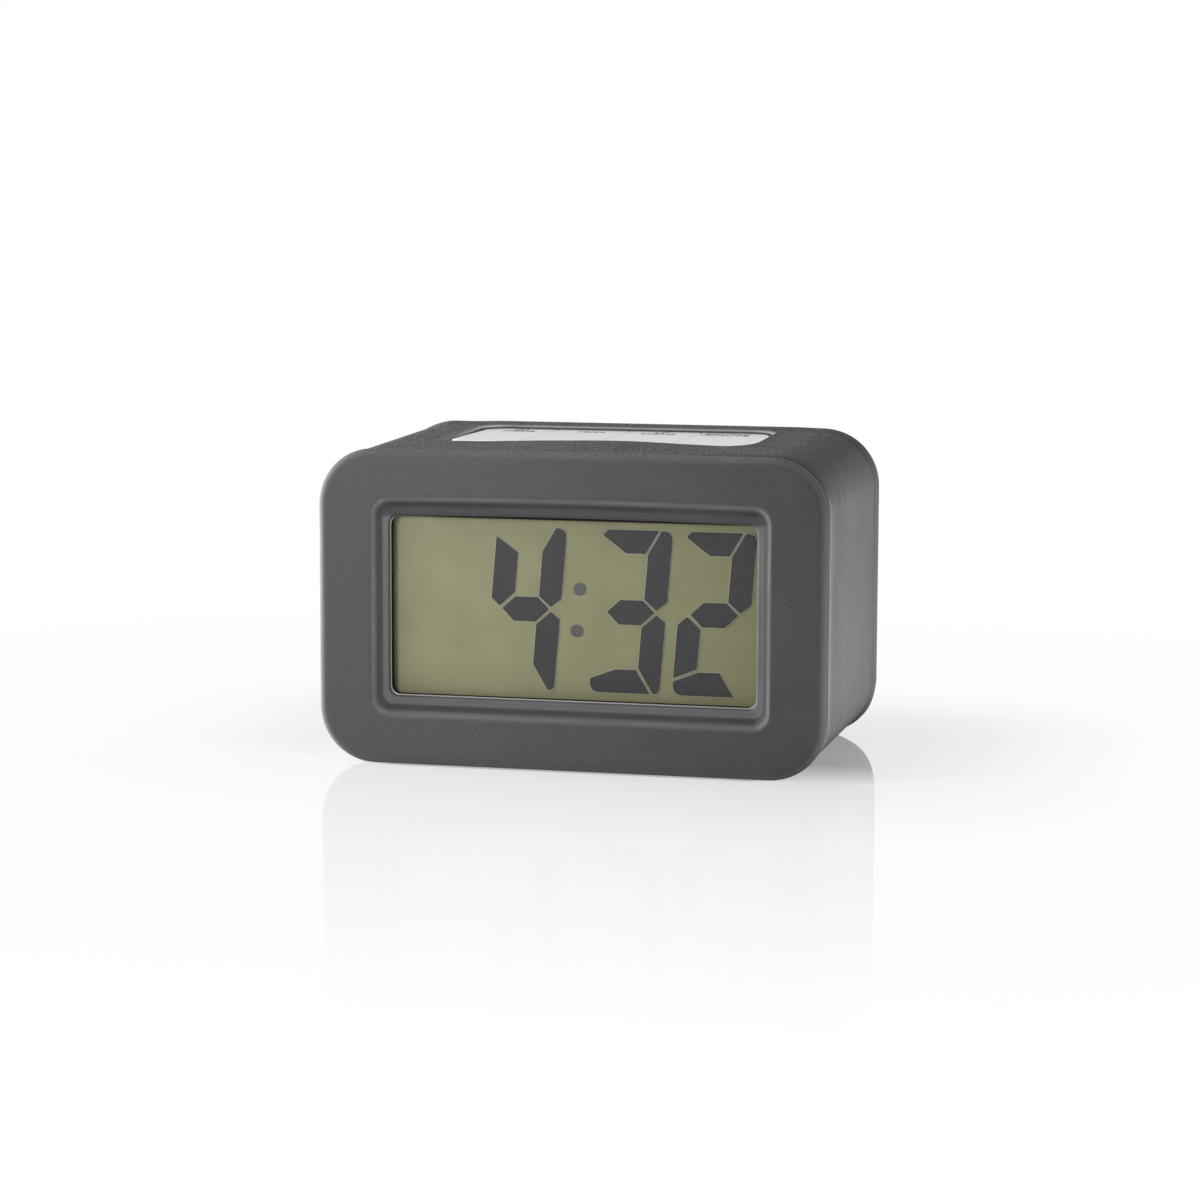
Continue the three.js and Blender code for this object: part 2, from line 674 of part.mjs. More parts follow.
const hangPosts = hangPlaces.map(([x, depth]) => {
  const top = topAt(depth, insideInset) + HOUSING_WALL / 2;
  return rodUpright(BOARD_POST_RADIUS, x, depth, [keyBoardTop + SEAT, top]);
});
const hangBores = hangPlaces.map(([x, depth]) => (
  rodUpright(BORE_RADIUS, x, depth, [keyBoardTop - OVER, keyBoardTop + SHORT_SHANK - BOARD_THICK + FIT])
));
const collar = rodAcrossDepth(
  BUZZER_RADIUS + FIT + BUZZER_COLLAR,
  0,
  buzzerMiddle,
  [rearPlateFront - COLLAR_HEIGHT, housingBack - REAR_PLATE / 2],
);
const collarBore = rodAcrossDepth(
  BUZZER_RADIUS + FIT,
  0,
  buzzerMiddle,
  [rearPlateFront - COLLAR_HEIGHT - OVER, rearPlateFront],
);
const soundRun = [rearPlateFront - OVER, housingBack + OVER];
const soundHole = (x, z) => rodAcrossDepth(SOUND_HOLE, x, z, soundRun);
const soundHoles = [soundHole(0, buzzerMiddle)];
for (let k = 0; k < SOUND_HOLES; k += 1) {
  const angle = (k / SOUND_HOLES) * 2 * Math.PI;
  soundHoles.push(soundHole(SOUND_RING * Math.cos(angle), buzzerMiddle + SOUND_RING * Math.sin(angle)));
}
const rearBlocks = common(
  join(...wellTubes, tubBlock, collar, ...hangPosts),
  outlineBlock(split + SEAM, housingBack - REAR_PLATE / 2, housingInset + HOUSING_WALL / 2),
);
piece(assembly, 'rear_housing', cut(
  join(rearShell, rearBlocks),
  ...wellBores,
  ...screwHoles,
  tubSpace,
  ...tabSlots(),
  doorRecess,
  ...hangBores,
  collarBore,
  ...soundHoles,
  keyRow(FIT, [flangeTop, topAt(keysBack, 0) + OVER]),
), casePlastic);

// Battery door: a plate with a locating rib and a sprung latch tongue cut free at its upper edge

function doorPlate() {
  const skin = plate(doorWidth, doorHeight, tubMiddle, DOOR_CORNER, doorFront, housingBack);
  const ribWidth = tubWidth - 2 * FIT;
  const ribHeight = tubHeight - 2 * FIT;
  const ribFront = doorFront - DOOR_RIB_DEPTH;
  const through = [ribFront - OVER, housingBack + OVER];
  const rib = cut(
    plate(ribWidth, ribHeight, tubMiddle, DOOR_RIB, ribFront, doorFront + DOOR_THICK / 2),
    plate(ribWidth - 2 * DOOR_RIB, ribHeight - 2 * DOOR_RIB, tubMiddle, DOOR_RIB, ...through),
  );
  const slitHeights = [doorTop - LATCH_LENGTH, doorTop + OVER];
  const slits = [-1, 1].map((side) => {
    const middle = side * (LATCH_WIDTH + LATCH_SLIT) / 2;
    return box([middle - LATCH_SLIT / 2, middle + LATCH_SLIT / 2], through, slitHeights);
  });
  const ridges = [];
  for (let k = 1; k <= RIDGE_COUNT; k += 1) {
    const height = doorTop - LATCH_LENGTH * k / (RIDGE_COUNT + 1);
    const bar = rod(LATCH_RIDGE * 2, RIDGE_WIDTH).rotateZ(Math.PI / 2);
    ridges.push(bar.translate(0, housingBack - LATCH_RIDGE, height));
  }
  return cut(join(skin, rib, ...ridges), ...slits);
}
piece(assembly, 'battery_door', doorPlate(), casePlastic);

// Battery group, centred between the cells: the upper cell's nub points right, the lower one's left

const power = groupIn(assembly, 0, cellDepth, tubMiddle);
const cellProfile = [
  [0, 0],
  [CELL_RADIUS - CELL_EDGE, 0],
  [CELL_RADIUS, CELL_EDGE],
  [CELL_RADIUS, CELL_LENGTH - NUB_LENGTH - CELL_EDGE],
  [CELL_RADIUS - CELL_EDGE, CELL_LENGTH - NUB_LENGTH],
  [NUB_RADIUS, CELL_LENGTH - NUB_LENGTH],
  [NUB_RADIUS, CELL_LENGTH],
  [0, CELL_LENGTH],
];
const contactInner = tubWidth / 2 - SEAT - CONTACT_THICK;

class Coil extends THREE.Curve {
  // A helix along X whose ends lie one wire radius inside the length given
  constructor(length) {
    super();
    this.length = length - 2 * SPRING_WIRE;
  }

  getPoint(t) {
    const angle = t * SPRING_TURNS * 2 * Math.PI;
    const x = SPRING_WIRE + t * this.length;
    return new THREE.Vector3(x, SPRING_RADIUS * Math.cos(angle), SPRING_RADIUS * Math.sin(angle));
  }
}

// A contact plate at the end of the compartment, with a tab through its floor for each cell it serves
function contact(side, rows) {
  const middles = rows.map((row) => row.height);
  const xs = [contactInner, contactInner + CONTACT_THICK].map((x) => side * x).sort((a, b) => a - b);
  const heights = [Math.min(...middles) - CONTACT_WIDTH / 2, Math.max(...middles) + CONTACT_WIDTH / 2];
  const face = box(xs, [-CONTACT_WIDTH / 2, CONTACT_WIDTH / 2], heights);
  const halfTab = TAB_WIDTH / 2;
  const tabs = middles.map((z) => box(xs, [tabFront - cellDepth, 0], [z - halfTab, z + halfTab]));
  return join(face, ...tabs);
}

for (const { name, side, height } of cellRows) {
  const foot = contactInner - SEAT - CELL_LENGTH;
  const cell = piece(power, `battery_${name}`, revolved(cellProfile, ROUND_SIDES), cellSkin);
  cell.position.set(side * foot, 0, height);
  cell.rotation.z = -side * Math.PI / 2;
  const springLine = new Coil(contactInner + foot - 2 * SEAT);
  const coil = wireAlong(springLine, SPRING_WIRE, SPRING_TURNS * COIL_STEPS);
  const spring = piece(power, `battery_spring_${name}`, coil, steel);
  spring.position.set(-side * (contactInner - SEAT), 0, height);
  spring.rotation.z = side > 0 ? 0 : Math.PI;
}
piece(power, 'battery_contact_link', contact(-1, cellRows), steel);
for (const row of cellRows) {
  piece(power, `battery_contact_${row.name}`, contact(1, [row]), steel);
}

// Two wires run from the right-hand contacts' tabs to the main board
for (const [row, finish, name] of [[cellRows[0], redWire, 'red'], [cellRows[1], blackWire, 'black']]) {
  const x = contactInner + CONTACT_THICK / 2;
  const start = tabFront - SEAT - cellDepth;
  const end = boardBack + SEAT - cellDepth;
  const route = new THREE.CatmullRomCurve3(WIRE_SHAPE.map(([run, lift]) => (
    new THREE.Vector3(x, start + (end - start) * run, row.height + WIRE_LIFT * lift)
  )));
  piece(power, `battery_wire_${name}`, wireAlong(route, WIRE_RADIUS, WIRE_STEPS), finish);
}

// Buzzer in its collar, with two wires up to the key board
const buzzerRun = [buzzerFront, rearPlateFront - SEAT];
piece(assembly, 'buzzer', rodAcrossDepth(BUZZER_RADIUS, 0, buzzerMiddle, buzzerRun), blackPlastic);
for (const [name, side, finish] of [['red', -1, redWire], ['black', 1, blackWire]]) {
  const x = side * WIRE_SPACING;
  const start = new THREE.Vector3(x, buzzerFront - SEAT, buzzerMiddle);
  const end = new THREE.Vector3(x, keyBoardDepths[1] - WIRE_END_INSET, keyBoardLow - SEAT);
  const bend = new THREE.Vector3(x, end.y, start.z);
  const route = new THREE.QuadraticBezierCurve3(start, bend, end);
  piece(assembly, `buzzer_wire_${name}`, wireAlong(route, WIRE_RADIUS, WIRE_STEPS), finish);
}

// Keys: hollow silver caps with a stem, and flanges that hold them under the case's top

// The whole row's skin, rounded at its upper edge
function keyRowSkin() {
  const rings = [[0, flangeLow], [0, keysTop - KEY_ROUND]];
  for (let k = 1; k <= ROUND_STEPS; k += 1) {
    const turn = (k / ROUND_STEPS) * Math.PI / 2;
    rings.push([-KEY_ROUND * (1 - Math.cos(turn)), keysTop - KEY_ROUND * (1 - Math.sin(turn))]);
  }
  return loft(rings.map(([margin, height]) => {
    const low = keysFront - margin;
    const high = keysBack + margin;
    return levelRing(roundedLoop(KEYS_WIDTH / 2 + margin, low, high, KEYS_CORNER + margin), height);
  }));
}

function keyCap(i) {
  const xs = [keyLeft(i), keyLeft(i) + keyWidth];
  const wholeDepth = [keysFront - KEY_FLANGE, keysBack + KEY_FLANGE];
  const strip = box(xs, [wholeDepth[0] - OVER, wholeDepth[1] + OVER], [stemLow - OVER, keysTop + OVER]);
  const inner = box(
    [xs[0] + KEY_SKIN, xs[1] - KEY_SKIN],
    [wholeDepth[0], wholeDepth[1]],
    [flangeLow - OVER, keysTop - KEY_SKIN],
  );
  const hollow = common(keyRow(-KEY_SKIN, [flangeLow - OVER, keysTop - KEY_SKIN]), inner);
  const firstInset = i === 0 ? KEYS_CORNER : 0;
  const lastInset = i === KEY_COUNT - 1 ? KEYS_CORNER : 0;
  const flangeXs = [xs[0] + firstInset, xs[1] - lastInset];
  const flanges = [
    box(flangeXs, [wholeDepth[0], keysFront + KEY_SKIN / 2], [flangeLow, flangeTop]),
    box(flangeXs, [keysBack - KEY_SKIN / 2, wholeDepth[1]], [flangeLow, flangeTop]),
  ];
  const seams = [];
  if (i > 0) seams.push(xs[0] - KEY_GAP / 2);
  if (i < KEY_COUNT - 1) seams.push(xs[1] + KEY_GAP / 2);
  const notches = seams.map((x) => rodUpright(NOTCH_RADIUS, x, keysBack, [flangeTop, keysTop + OVER]));
  const stem = rodUpright(STEM_RADIUS, keyMiddle(i), keysMiddle, [stemLow, keysTop - KEY_SKIN / 2]);
  return join(cut(join(common(keyRowSkin(), strip), ...flanges), hollow, ...notches), stem);
}

const keys = groupIn(assembly, 0, 0, 0);
const plungerLow = switchTop - PLUNGER_SUNK;
const pocketLow = plungerLow - KEY_TRAVEL - PLUNGER_PLAY;
const switchSpan = [-SWITCH_SIZE / 2, SWITCH_SIZE / 2];
for (let i = 0; i < KEY_COUNT; i += 1) {
  const number = i + 1;
  piece(keys, `top_key_${number}`, keyCap(i), silverPlastic);
  const station = groupIn(keys, keyMiddle(i), keysMiddle, 0);
  const plunger = rodUpright(PLUNGER_RADIUS, 0, 0, [plungerLow, plungerTop]);
  piece(station, `switch_plunger_${number}`, plunger, blackPlastic);
  piece(station, `key_switch_${number}`, cut(
    box(switchSpan, switchSpan, [keyBoardTop + SEAT, switchTop]),
    rodUpright(PLUNGER_RADIUS + PLUNGER_PLAY, 0, 0, [pocketLow, switchTop + OVER]),
  ), blackPlastic);
}

// Key board on its posts
const throughBoard = [keyBoardLow - OVER, keyBoardTop + OVER];
piece(keys, 'key_board', cut(
  slab(2 * (hangX + KEY_BOARD_EDGE), KEY_BOARD_EDGE, keyBoardDepths, [keyBoardLow, keyBoardTop]),
  ...hangPlaces.map(([x, depth]) => rodUpright(BORE_RADIUS, x, depth, throughBoard)),
), board);

// Ribbon cable from the main board up to the key board's front edge
const ribbonStart = new THREE.Vector2(boardBack + SEAT, keyBoardLow - RIBBON_DROP);
const ribbonEnd = new THREE.Vector2(keyBoardDepths[0] - SEAT, (keyBoardLow + keyBoardTop) / 2);
const ribbonReach = (ribbonEnd.x - ribbonStart.x) / 2;
const ribbonPath = new THREE.CubicBezierCurve(
  ribbonStart,
  new THREE.Vector2(ribbonStart.x + ribbonReach, ribbonStart.y),
  new THREE.Vector2(ribbonEnd.x - ribbonReach, ribbonEnd.y),
  ribbonEnd,
);
const ribbonLine = ribbonPath.getPoints(RIBBON_STEPS);
const ribbonEdge = (shift) => ribbonLine.map((p) => new THREE.Vector2(p.x, p.y + shift));
const ribbonOutline = [...ribbonEdge(-RIBBON_THICK / 2), ...ribbonEdge(RIBBON_THICK / 2).reverse()];
const ribbonForm = { depth: RIBBON_WIDTH, bevelEnabled: false };
const ribbon = new THREE.ExtrudeGeometry(new THREE.Shape(ribbonOutline), ribbonForm);
ribbon.rotateY(Math.PI / 2).rotateX(Math.PI / 2).translate(-RIBBON_WIDTH / 2, 0, 0);
piece(keys, 'ribbon_cable', ribbon, ribbonGrey);

// Screws with a cross recess, along Y: the head's top is at the origin, the shank runs to the front
function screw(shank) {
  const body = revolved([
    [0, -HEAD_HEIGHT - shank],
    [SHANK_RADIUS, -HEAD_HEIGHT - shank + SHANK_RADIUS],
    [SHANK_RADIUS, -HEAD_HEIGHT],
    [HEAD_RADIUS, -HEAD_HEIGHT],
    [HEAD_RADIUS, -HEAD_EDGE],
    [HEAD_FLAT, 0],
    [0, 0],
  ], SMALL_SIDES);
  const arm = () => new THREE.BoxGeometry(CROSS_LENGTH, 2 * CROSS_DEPTH, CROSS_WIDTH);
  return cut(body, arm(), arm().rotateY(Math.PI / 2));
}

postPlaces.forEach(([x, z], i) => {
  const top = postEnd + SEAT + WELL_FLOOR + SEAT + HEAD_HEIGHT;
  piece(assembly, `housing_screw_${i + 1}`, screw(SHANK_LENGTH), steel).position.set(x, top, z);
});
earPlaces.forEach(([x, z], i) => {
  const top = boardBack + SEAT + HEAD_HEIGHT;
  piece(display, `board_screw_${i + 1}`, screw(SHORT_SHANK), steel).position.set(x, top, z);
});
hangPlaces.forEach(([x, depth], i) => {
  const low = keyBoardLow - SEAT - HEAD_HEIGHT;
  const mesh = piece(keys, `key_board_screw_${i + 1}`, screw(SHORT_SHANK), steel);
  mesh.position.set(x, depth, low);
  mesh.rotation.x = -Math.PI / 2;
});

export default clock;
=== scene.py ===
"""Looks of the digital alarm clock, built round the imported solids. Named lengths are in millimetres."""

import json
import math

import bmesh
import bpy
from mathutils import Matrix, Vector


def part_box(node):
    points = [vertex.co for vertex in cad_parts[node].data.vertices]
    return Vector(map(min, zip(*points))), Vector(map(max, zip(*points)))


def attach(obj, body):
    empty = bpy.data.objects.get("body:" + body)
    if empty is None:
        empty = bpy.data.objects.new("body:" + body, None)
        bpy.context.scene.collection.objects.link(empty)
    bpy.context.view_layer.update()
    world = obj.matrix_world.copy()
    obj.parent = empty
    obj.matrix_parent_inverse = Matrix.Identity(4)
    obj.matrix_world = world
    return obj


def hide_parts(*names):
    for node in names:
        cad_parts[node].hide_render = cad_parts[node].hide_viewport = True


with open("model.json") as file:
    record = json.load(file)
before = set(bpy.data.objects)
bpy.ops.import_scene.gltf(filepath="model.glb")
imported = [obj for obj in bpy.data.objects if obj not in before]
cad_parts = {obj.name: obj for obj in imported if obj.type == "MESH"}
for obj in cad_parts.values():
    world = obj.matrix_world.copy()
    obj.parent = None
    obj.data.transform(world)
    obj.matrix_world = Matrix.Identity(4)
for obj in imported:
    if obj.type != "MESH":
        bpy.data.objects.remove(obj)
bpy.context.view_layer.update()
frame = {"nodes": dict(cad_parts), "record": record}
nodes = frame["nodes"]

MM = 0.001

# Rubber sleeve: the front outline, how it grows towards the back, and the profile along the depth
DEPTH = 65.4
FRONT_WIDTH = 107.6
FRONT_HEIGHT = 66.0
FRONT_CORNER = 11.8
GROWTH_WIDTH = 0.8
GROWTH_HEIGHT = 1.5
GROWTH_CORNER = 0.8
LIP_ROUND = 2.1
LIP_ROUND_DEPTH = 1.6
LIP_DEPTH = 2.2
GROOVE_INSET = 0.4
GROOVE_DEPTH = 2.6
BODY_INSET = 0.3
BODY_START = 4.0
FLARE_START = 58.0
FLARE_END = 60.4
RIM_ROUND = 1.5
SLEEVE_FRONT = 3.6
SLEEVE_BACK = 63.2
CAVITY_INSET = 2.7
RETURN_INSET = 5.7
RETURN_ROUND = 0.6
CORNER_SWELL = 0.35
CORNER_SWELL_TURN = 38
CORNER_SWELL_HALF = 28
TOP_BAND = 6.0
# Support points of the skin: inset and depth, added to those of the lip's edge, the groove and the body
LIP_TURN = ((0.0, -0.5), (0.03, -0.2), (0.16, 0.0), (0.42, 0.18))
GROOVE_TURN = ((0.0, 0.0), (-0.06, 0.3))
BODY_TURN = ((0.1, -0.5), (0.02, 0.0))
FACE_SUPPORTS = (1.0, 0.6, 0.3)
SUPPORT = 0.3

# Window and the stepped reveal round it, as margins outside the window
WINDOW_WIDTH = 77.7
WINDOW_LOW = 14.45
WINDOW_HIGH = 51.85
WINDOW_CORNER = 1.5
REVEAL_CORNER = 2.2
REVEAL_MARGIN = 4.7
REVEAL_DEPTH = 2.5
REVEAL_STEPS = 20
SHELF_MARGIN = 1.5
SIDE_SHARE = 0.8
INNER_MARGIN = 0.4
INNER_ROUND = 0.35
WINDOW_BOW = 0.45

# Bead along the edge of the case's window: a light ring that stands for the highlight on that edge, a
# painted highlight
BEAD_MARGIN = 0.22
BEAD_RADIUS = 0.17
BEAD_DEPTH = 3.75

# Key opening in the sleeve's top
KEYS_WIDTH = 64.4
KEYS_FRONT = 23.2
KEYS_BACK = 56.4
KEYS_CORNER = 5.2
KEYS_CORNER_TIP = 2.8
RUBBER_RIM = 0.25
RUBBER_EDGE = 1.1
RUBBER_STEP = 2.0
RUBBER_RAISE = 0.12
CUT_OVERRUN = 1.0
TOLERANCE = 0.05
# Painted light and shade round the opening: the attribute, its plain value, and where on the round edge it
# changes
PAINTED_RIM = "rubbed"
PAINTED_RIM_PLAIN = 0.5
PAINTED_RIM_RISE = 0.45
PAINTED_RIM_FALL = 0.7
PAINTED_RIM_BELOW = 1.0
# Swellings and hollows of the rubber on top: across, depth, half width, half length, height
SWELLINGS = (
    (-3.0, 20.0, 24.0, 13.0, 0.6),
    (13.5, 20.0, 21.0, 13.0, 0.44),
    (33.0, 26.0, 8.0, 8.0, 0.25),
    (-34.0, 24.0, 6.0, 7.0, -0.12),
    (-39.0, 62.0, 9.0, 12.0, -0.2),
    (43.0, 62.0, 8.0, 12.0, -0.15),
)

# Key caps
KEY_COUNT = 4
KEY_GAP = 0.3
KEY_SEAM = 0.08
SEAM_SHARE = 0.3
KEY_ROUND = 0.7
KEY_WALL = 1.9
KEY_SKIRT = 5.5
KEY_SKIRT_INSET = 0.6
KEY_WALL_SUPPORT = 0.2
KEY_TOP_SUPPORT = 0.25
KEY_LEAST_CORNER = 0.05
KEY_NOTCH = 1.1
KEY_SEAM_CORNER = 0.25
KEY_LIFT = (0.0, 0.01, 0.0, 0.01)
LABELS = ("SET\nMODE", "12/24", "UP\nHOUR", "DOWN\nMINUTE")
LABEL_X = (-23.4, -7.6, 8.0, 22.6)
LABEL_WIDTHS = (7.0, 5.8, 7.6, 10.4)
LABEL_DEPTH = 50.6
LABEL_SIZE = 3.8
LABEL_THICK = 0.03
LABEL_SPACING = 0.85

# Display: seven-segment digits, drawn upright round their middle and then slanted
DIGIT_MIDDLE = 33.0
DIGIT_SLANT = 0.081
DIGITS = (("hours", -10.63, "bcfg"), ("tens", 11.8, "abcdg"), ("units", 29.4, "abdeg"))
COLON_X = 0.6
COLON_RISE = 4.35
COLON_RADIUS = 1.3
COLON_STEPS = 32
COLON_TURN = 349
PANEL_RECESS = 0.3
PANEL_EDGE = 0.1
PANEL_CORNER = 0.4
PANEL_STEPS = (3, 1, 1)
INK_LIFT = 0.2
INK_THICK = 0.03
HALO_LIFT = 0.1
HALO_MARGIN = 0.16
HALO_SHARPEST = 0.5
# Corner points of each segment, with the reach of the rounding where a corner is round
SEGMENTS = {
    "a": ((-7.2, 15.85, 0.3), (-6.2, 17.0, 0.5), (4.6, 17.0, 0), (2.1, 12.1, 0), (-2.0, 12.1, 0)),
    "b": ((5.15, 16.95, 0), (7.5, 17.0, 2.2), (7.5, 2.25, 0), (5.4, 0.4, 0), (2.65, 2.65, 0),
          (2.65, 12.0, 0)),
    "c": ((5.5, -0.5, 0), (7.5, -2.1, 0), (7.45, -16.95, 1.3), (6.1, -16.95, 0), (2.55, -11.65, 0),
          (2.55, -3.25, 0)),
    "d": ((-7.45, -14.1, 0), (-7.45, -17.0, 2.4), (5.5, -17.0, 0), (2.1, -12.05, 0), (-2.2, -12.05, 0)),
    "e": ((-5.65, -0.55, 0), (-7.5, -2.3, 0), (-7.5, -13.5, 0), (-2.65, -11.45, 0), (-2.65, -3.1, 0)),
    "f": ((-7.45, 14.95, 0), (-2.55, 11.7, 0), (-2.55, 3.35, 0), (-5.6, 0.35, 0), (-7.5, 2.0, 0)),
    "g": ((-5.05, -0.1, 0), (-2.4, 2.45, 0), (2.4, 2.45, 0), (5.05, -0.05, 0), (2.35, -2.7, 0),
          (-2.35, -2.7, 0)),
}

# Case: rounded edges of the pieces made from its solids
CASE_EDGE = 0.2
FRONT_EDGE = 0.25
FRONT_EDGE_STEPS = 5
FRONT_EDGE_TURN = 25
SCREW_EDGE = 0.08
SCREW_EDGE_STEPS = 2
SCREW_COUNT = 4
MERGE_REACH = 0.001
FLAT_TURN = 1
SHARP_TURN = 40
NORMAL_WEIGHT = 100

# Battery cells, with support points as radius and reach, added to the crimp and to the foot or shoulder
CELL_EDGE = 0.5
CELL_CRIMP = 1.1
CELL_RECESS = 0.15
CELL_SHARP_TURN = 30
CELL_FOOT = ((-0.1, 0.3), (-0.1, 0.1), (-0.3, 0.0), (-0.6, 0.0))
CELL_SHOULDER = ((-0.1, -0.3), (-0.1, -0.1))
NUB_LENGTH = 1.2
NUB_RADIUS = 1.9
NUB_FILLET = 0.4
NUB_EDGE = 0.3

# Facets
CORNER_STEPS = 18
ROUND_STEPS = 8
LIP_STEPS = 10
ACROSS_STEPS = 44
UP_STEPS = 20
BODY_STEPS = 26
FACE_STEPS = 6
CURVE_STEPS = 6
BEAD_STEPS = 10
SMALL_STEPS = 4
CELL_STEPS = 64

# Inputs of the shader
INPUTS = {
    "base": "Base Color",
    "roughness": "Roughness",
    "metallic": "Metallic",
    "specular": "Specular IOR Level",
}

# Ranges of a share, of a fine noise and of a cloudy one
RISE = (0.0, 1.0)
FALL = (1.0, 0.0)
GRAIN_RANGE = (0.3, 0.7)
CLOUD_RANGE = (0.35, 0.65)
CLOUD_SHARES = (0.0, 0.3)

# Plain finishes by name: colour, roughness, and what differs from the usual grain
FINISHES = {
    "case_plastic": ((0.02, 0.02, 0.021), 0.3, {"grain": 0.3, "contrast": 0.2, "relief": 0.03}),
    "window_black": ((0.006, 0.006, 0.006), 0.6, {"contrast": 0.2, "specular": 0.05}),
    "guide_plastic": ((0.75, 0.77, 0.72), 0.25, {"contrast": 0.03}),
    "frame_plastic": ((0.7, 0.7, 0.67), 0.45, {"contrast": 0.05}),
    "connector_rubber": ((0.45, 0.46, 0.5), 0.7, {"grain": 0.2, "contrast": 0.3}),
    "led_body": ((0.8, 0.76, 0.6), 0.35, {"contrast": 0.05}),
    "circuit_board": ((0.03, 0.14, 0.05), 0.4, {"grain": 1.2, "contrast": 0.2}),
    "epoxy": ((0.012, 0.012, 0.012), 0.3, {"contrast": 0.2}),
    "steel": ((0.56, 0.55, 0.53), 0.3, {"grain": 0.3, "contrast": 0.08, "metallic": 1.0}),
    "ribbon": ((0.4, 0.4, 0.42), 0.5, {"contrast": 0.1}),
    "black_plastic": ((0.015, 0.015, 0.015), 0.45, {"contrast": 0.2}),
    "cell_skin": ((0.05, 0.08, 0.13), 0.32, {"contrast": 0.05, "metallic": 0.3}),
    "wire_red": ((0.42, 0.02, 0.02), 0.45, {"contrast": 0.08}),
    "wire_black": ((0.015, 0.015, 0.015), 0.5, {"contrast": 0.15}),
}
# A cloud's size in grains, and how much the gloss changes
CLOUD_GRAINS = 30
CLOUD_DETAIL = 3.0
GLOSS_CHANGE = 0.05
GRAIN_BUMP = 0.4

# Silicone: its grey and its finish, and the height of the middle of its front
RUBBER_GREY = (0.085, 0.085, 0.085)
RUBBER_ROUGHNESS = (0.5, 0.8)
RUBBER_SPECULAR = 0.1
RUBBER_BUMP = 0.35
RUBBER_RELIEF = 0.02
# Tint multiplied into the flat front face, more towards the right: painted shade
PAINTED_FACE_SHADE_TINT = (0.55, 0.55, 0.55)
FLAT_MIDDLE = 33.0
# Its noises: size, detail, roughness and stretch
RUBBER_NOISES = {
    "fine": (0.45, 3.0, 0.6),
    "coarse": (0.5, 4.0, 0.7, (1, 0.4, 1)),
    "streaks": (6.0, 3.0, 0.6, (1, 1, 0.2)),
    "specks": (0.6, 1.0, 0.5, (1, 0.4, 1)),
    "cloud": (12.0, 3.0),
}
# Its masks: the measure, the limits between which a mask changes, and the shares at those limits
LENGTHS = ("across", "aside", "height", "off_middle", "away")
MASKS = {
    "beside": ("aside", (46.0, 48.0), RISE),
    "over": ("off_middle", (25.0, 27.0), RISE),
    "body": ("depth", (LIP_DEPTH, GROOVE_DEPTH), RISE),
    "upright": ("up", (0.3, 0.7), FALL),
    "fine_grain": ("fine", GRAIN_RANGE, RISE),
    "coarse_grain": ("coarse", GRAIN_RANGE, RISE),
    "dust_and_highlight_grain": ("coarse", CLOUD_RANGE, RISE),
    "fleck_grain": ("coarse", (0.38, 0.64), RISE),
    "flat": ("depth", (0.02, 0.4), FALL),
    # Painted shade on the flat front face, stronger towards the right
    "worn": ("across", (-20.0, 54.0), (0.38, 0.9)),
    "crest_rise": ("depth", (0.0, 0.35), (0.0, 0.8)),
    "crest_fall": ("depth", (0.6, 1.4), FALL),
    "crest_facing": ("sideways", (0.05, 0.4), (0.5, 1.0)),
    "crest_grain": ("coarse", CLOUD_RANGE, (0.5, 1.0)),
    "crest_right": ("across", (30.0, 40.0), (1.0, 0.75)),
    "trough_rise": ("depth", (1.0, 1.7), (0.0, 0.95)),
    "trough_fall": ("depth", (2.2, 2.45), FALL),
    "trough_facing": ("sideways", (0.1, 0.5), (1.0, 0.35)),
    "upper": ("height", (WINDOW_HIGH - 0.3, WINDOW_HIGH + 0.5), RISE),
    "lower": ("height", (WINDOW_HIGH - 0.3, WINDOW_HIGH + 0.5), FALL),
    "shelf": ("depth", (2.3, 2.48), (0.0, 0.7)),
    "shelf_sides": ("aside", (38.0, 39.3), (0.45, 1.0)),
    "shaded": ("depth", (1.2, 1.8), (0.0, 0.6)),
    "lying": ("up", (0.2, 0.95), (0.0, 0.8)),
    "leftward": ("side", (-0.75, -0.25), FALL),
    "streaks": ("streaks", (0.4, 0.65), (0.0, 0.42)),
    "settled": ("up", (0.8, 1.0), RISE),
    "above": ("height", (45.0, 55.0), RISE),
    "specks": ("specks", (0.69, 0.77), (0.0, 0.6)),
    "rubbed": ("marks", (PAINTED_RIM_PLAIN, 0.9), RISE),
    "wall": ("marks", (0.0, PAINTED_RIM_PLAIN), (0.9, 0.0)),
    "rim_left": ("across", (-31.0, -27.0), FALL),
    "rim_back": ("depth", (30.0, 42.0), RISE),
    "ledge_rise": ("depth", (4.3, 4.7), (0.0, 0.75)),
    "ledge_fall": ("depth", (5.2, 9.0), FALL),
    "groove_rise": ("depth", (LIP_DEPTH, GROOVE_DEPTH), (0.0, 0.95)),
    "groove_fall": ("depth", (4.1, 4.5), FALL),
    "lee_rise": ("depth", (3.5, 4.5), (0.0, 0.7)),
    "lee_fall": ("depth", (6.0, 11.0), FALL),
    "lee_right": ("across", (18.0, 36.0), RISE),
    "lee_facing": ("up", (0.1, 0.5), RISE),
    "faded": ("depth", (30.0, DEPTH), (0.0, 0.65)),
    "crease_rise": ("depth", (1.2, 1.7), (0.0, 0.9)),
    "cloud": ("cloud", CLOUD_RANGE, CLOUD_SHARES),
}
